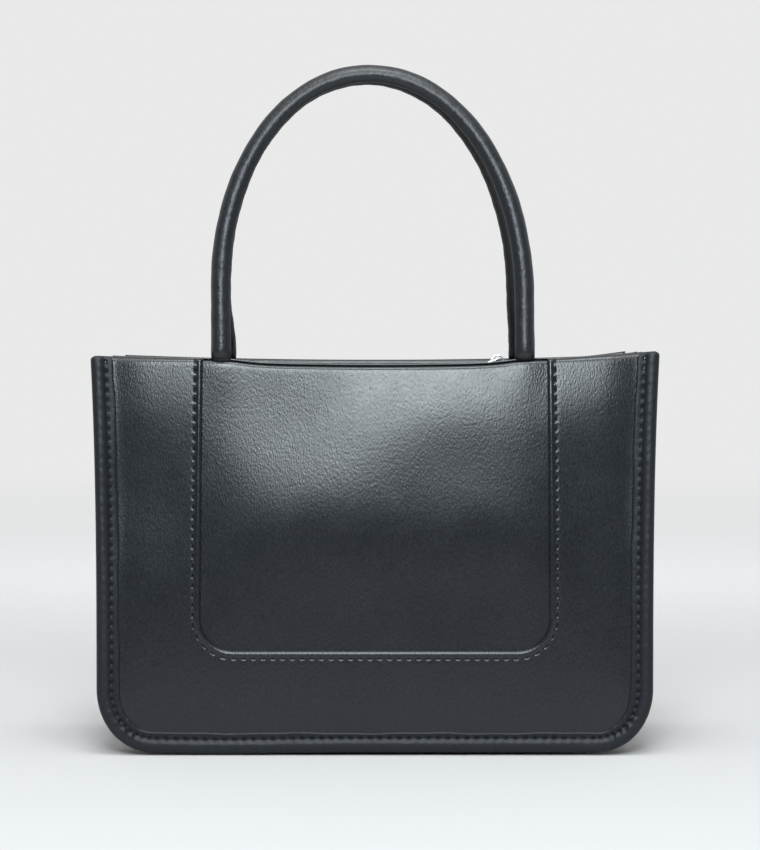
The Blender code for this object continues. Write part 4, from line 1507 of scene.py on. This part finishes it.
studio = {
    # the floor's colour turns lighter behind the bag, from farFrom to farBy: painted light where the
    # lamps reach it less
    "nearColour": (0.655, 0.650, 0.652, 1),
    "farColourWithPaintedLight": (0.880, 0.878, 0.880, 1),
    "farFrom": 0.25,
    "farBy": 1.0,
    "floorRadius": 3.4,
    "floorSides": 96,
    "floorRoughness": 0.85,
    "floorShine": 0.1,
    "fadeFrom": 1.0,
    "fadeTo": 3.0,
    "skySpan": (-0.4, 0.4),   # the room in front turns to sky behind over this span
    "skyColour": (0.812, 0.818, 0.815, 1),
    "roomColour": (0.240, 0.252, 0.268, 1),
    "skyLight": 0.55,
    "keySize": (0.42, 0.55),
    "keyPlace": (-0.012, -1.24, 0.880),
    "keyTarget": (-0.012, 0.0, 0.880),
    "keyPower": 13.5,
    "keyColour": (0.87, 0.96, 1.0),
    "topSize": (0.40, 0.34),
    "topPlace": (0.02, -0.47, 1.34),
    "topTarget": (0.0, 0.0, 0.25),
    "topPower": 5.5,
    "sunTurn": (20, 0, 0),    # degrees
    "sunAngle": 60,
    "sunStrength": 1.7,
}
camera = {
    "place": (0.0024, -1.279, 0.190),
    "pitch": -1.64,
    "lens": 111.2,
    "sensor": 36,
}


def smoothRise(board, value, start, end):
    sockets = {0: value, 1: start, 2: end}
    return board.add("ShaderNodeMapRange", {"interpolation_type": "SMOOTHSTEP"}, sockets)


def makeFloor():
    bm = bmesh.new()
    bmesh.ops.create_circle(
        bm, cap_ends=True, radius=studio["floorRadius"], segments=studio["floorSides"]
    )
    shine = studio["floorShine"]
    made = Finish("paleFloor", Roughness=studio["floorRoughness"], Specular_IOR_Level=shine)
    radius = made.add("ShaderNodeVectorMath", {"operation": "LENGTH"}, {0: made.place()}, output="Value")
    behind = made.add("ShaderNodeSeparateXYZ", None, {0: made.place()}, output="Y")
    # painted light: a lighter floor colour behind the bag makes up for the lamps' falloff there
    far = smoothRise(made, behind, studio["farFrom"], studio["farBy"])
    made.give("Base Color", made.blendColours(far, studio["nearColour"], studio["farColourWithPaintedLight"]))
    share = smoothRise(made, radius, studio["fadeFrom"], studio["fadeTo"])
    clear = made.add("ShaderNodeBsdfTransparent")
    shader = Wire(made, made.shader.outputs[0])
    both = made.add("ShaderNodeMixShader", None, {0: share, 1: shader, 2: clear})
    made.feed(made.tree.nodes["Material Output"].inputs["Surface"], both)
    floor = finishedPiece("floor", bm, made.material)


def makeSky():
    # pale all round as the camera sees it, dimmer in front of the bag for what it reflects there,
    # and weaker as light than it looks
    world = bpy.data.worlds.new("paleStudio")
    world.use_nodes = True
    bpy.context.scene.world = world
    world.node_tree.nodes.clear()
    sky = Board(world.node_tree)
    direction = sky.add("ShaderNodeTexCoord", output="Generated")
    parts = sky.add("ShaderNodeSeparateXYZ", None, {0: direction}, output="Y")
    behind = smoothRise(sky, parts, *studio["skySpan"])
    path = sky.tree.nodes.new("ShaderNodeLightPath")
    rays = [Wire(sky, path.outputs[f"Is {kind} Ray"]) for kind in ("Camera", "Glossy", "Transmission")]
    behind = behind + rays[0] * (1 - behind)
    tone = sky.blendColours(behind, studio["roomColour"], studio["skyColour"])
    seen = sky.add("ShaderNodeBackground", None, {"Color": tone})
    lit = sky.add("ShaderNodeBackground", None, {"Color": tone, "Strength": studio["skyLight"]})
    both = sky.add("ShaderNodeMixShader", None, {0: rays[0] + rays[1] + rays[2], 1: lit, 2: seen})
    output = sky.tree.nodes.new("ShaderNodeOutputWorld")
    sky.feed(output.inputs["Surface"], both)


def makeSoftbox(name, kind):
    data = bpy.data.lights.new(name, "AREA")
    data.shape = "RECTANGLE"
    data.size, data.size_y = studio[f"{kind}Size"]
    data.energy = studio[f"{kind}Power"]
    data.color = studio["keyColour"]
    light = linked(name, data)
    light.location = studio[f"{kind}Place"]
    toTarget = Vector(studio[f"{kind}Target"]) - light.location
    light.rotation_euler = toTarget.to_track_quat("-Z", "Y").to_euler()


def makeCeiling():
    # a broad, soft light from overhead, which fills the floor round the bag
    data = bpy.data.lights.new("ceiling", "SUN")
    data.energy = studio["sunStrength"]
    data.angle = math.radians(studio["sunAngle"])
    light = linked("ceiling", data)
    light.rotation_euler = [math.radians(turn) for turn in studio["sunTurn"]]


def makeCamera():
    data = bpy.data.cameras.new("camera")
    data.sensor_width = camera["sensor"]
    data.lens = camera["lens"]
    made = linked("camera", data)
    made.location = camera["place"]
    made.rotation_euler = (halfTurn + math.radians(camera["pitch"]), 0, 0)
    bpy.context.scene.camera = made


makeFloor()
makeSky()
makeSoftbox("keySoftbox", "key")
makeSoftbox("overheadSoftbox", "top")
makeCeiling()
makeCamera()
bpy.context.scene.view_settings.view_transform = "Standard"
print("studio made")
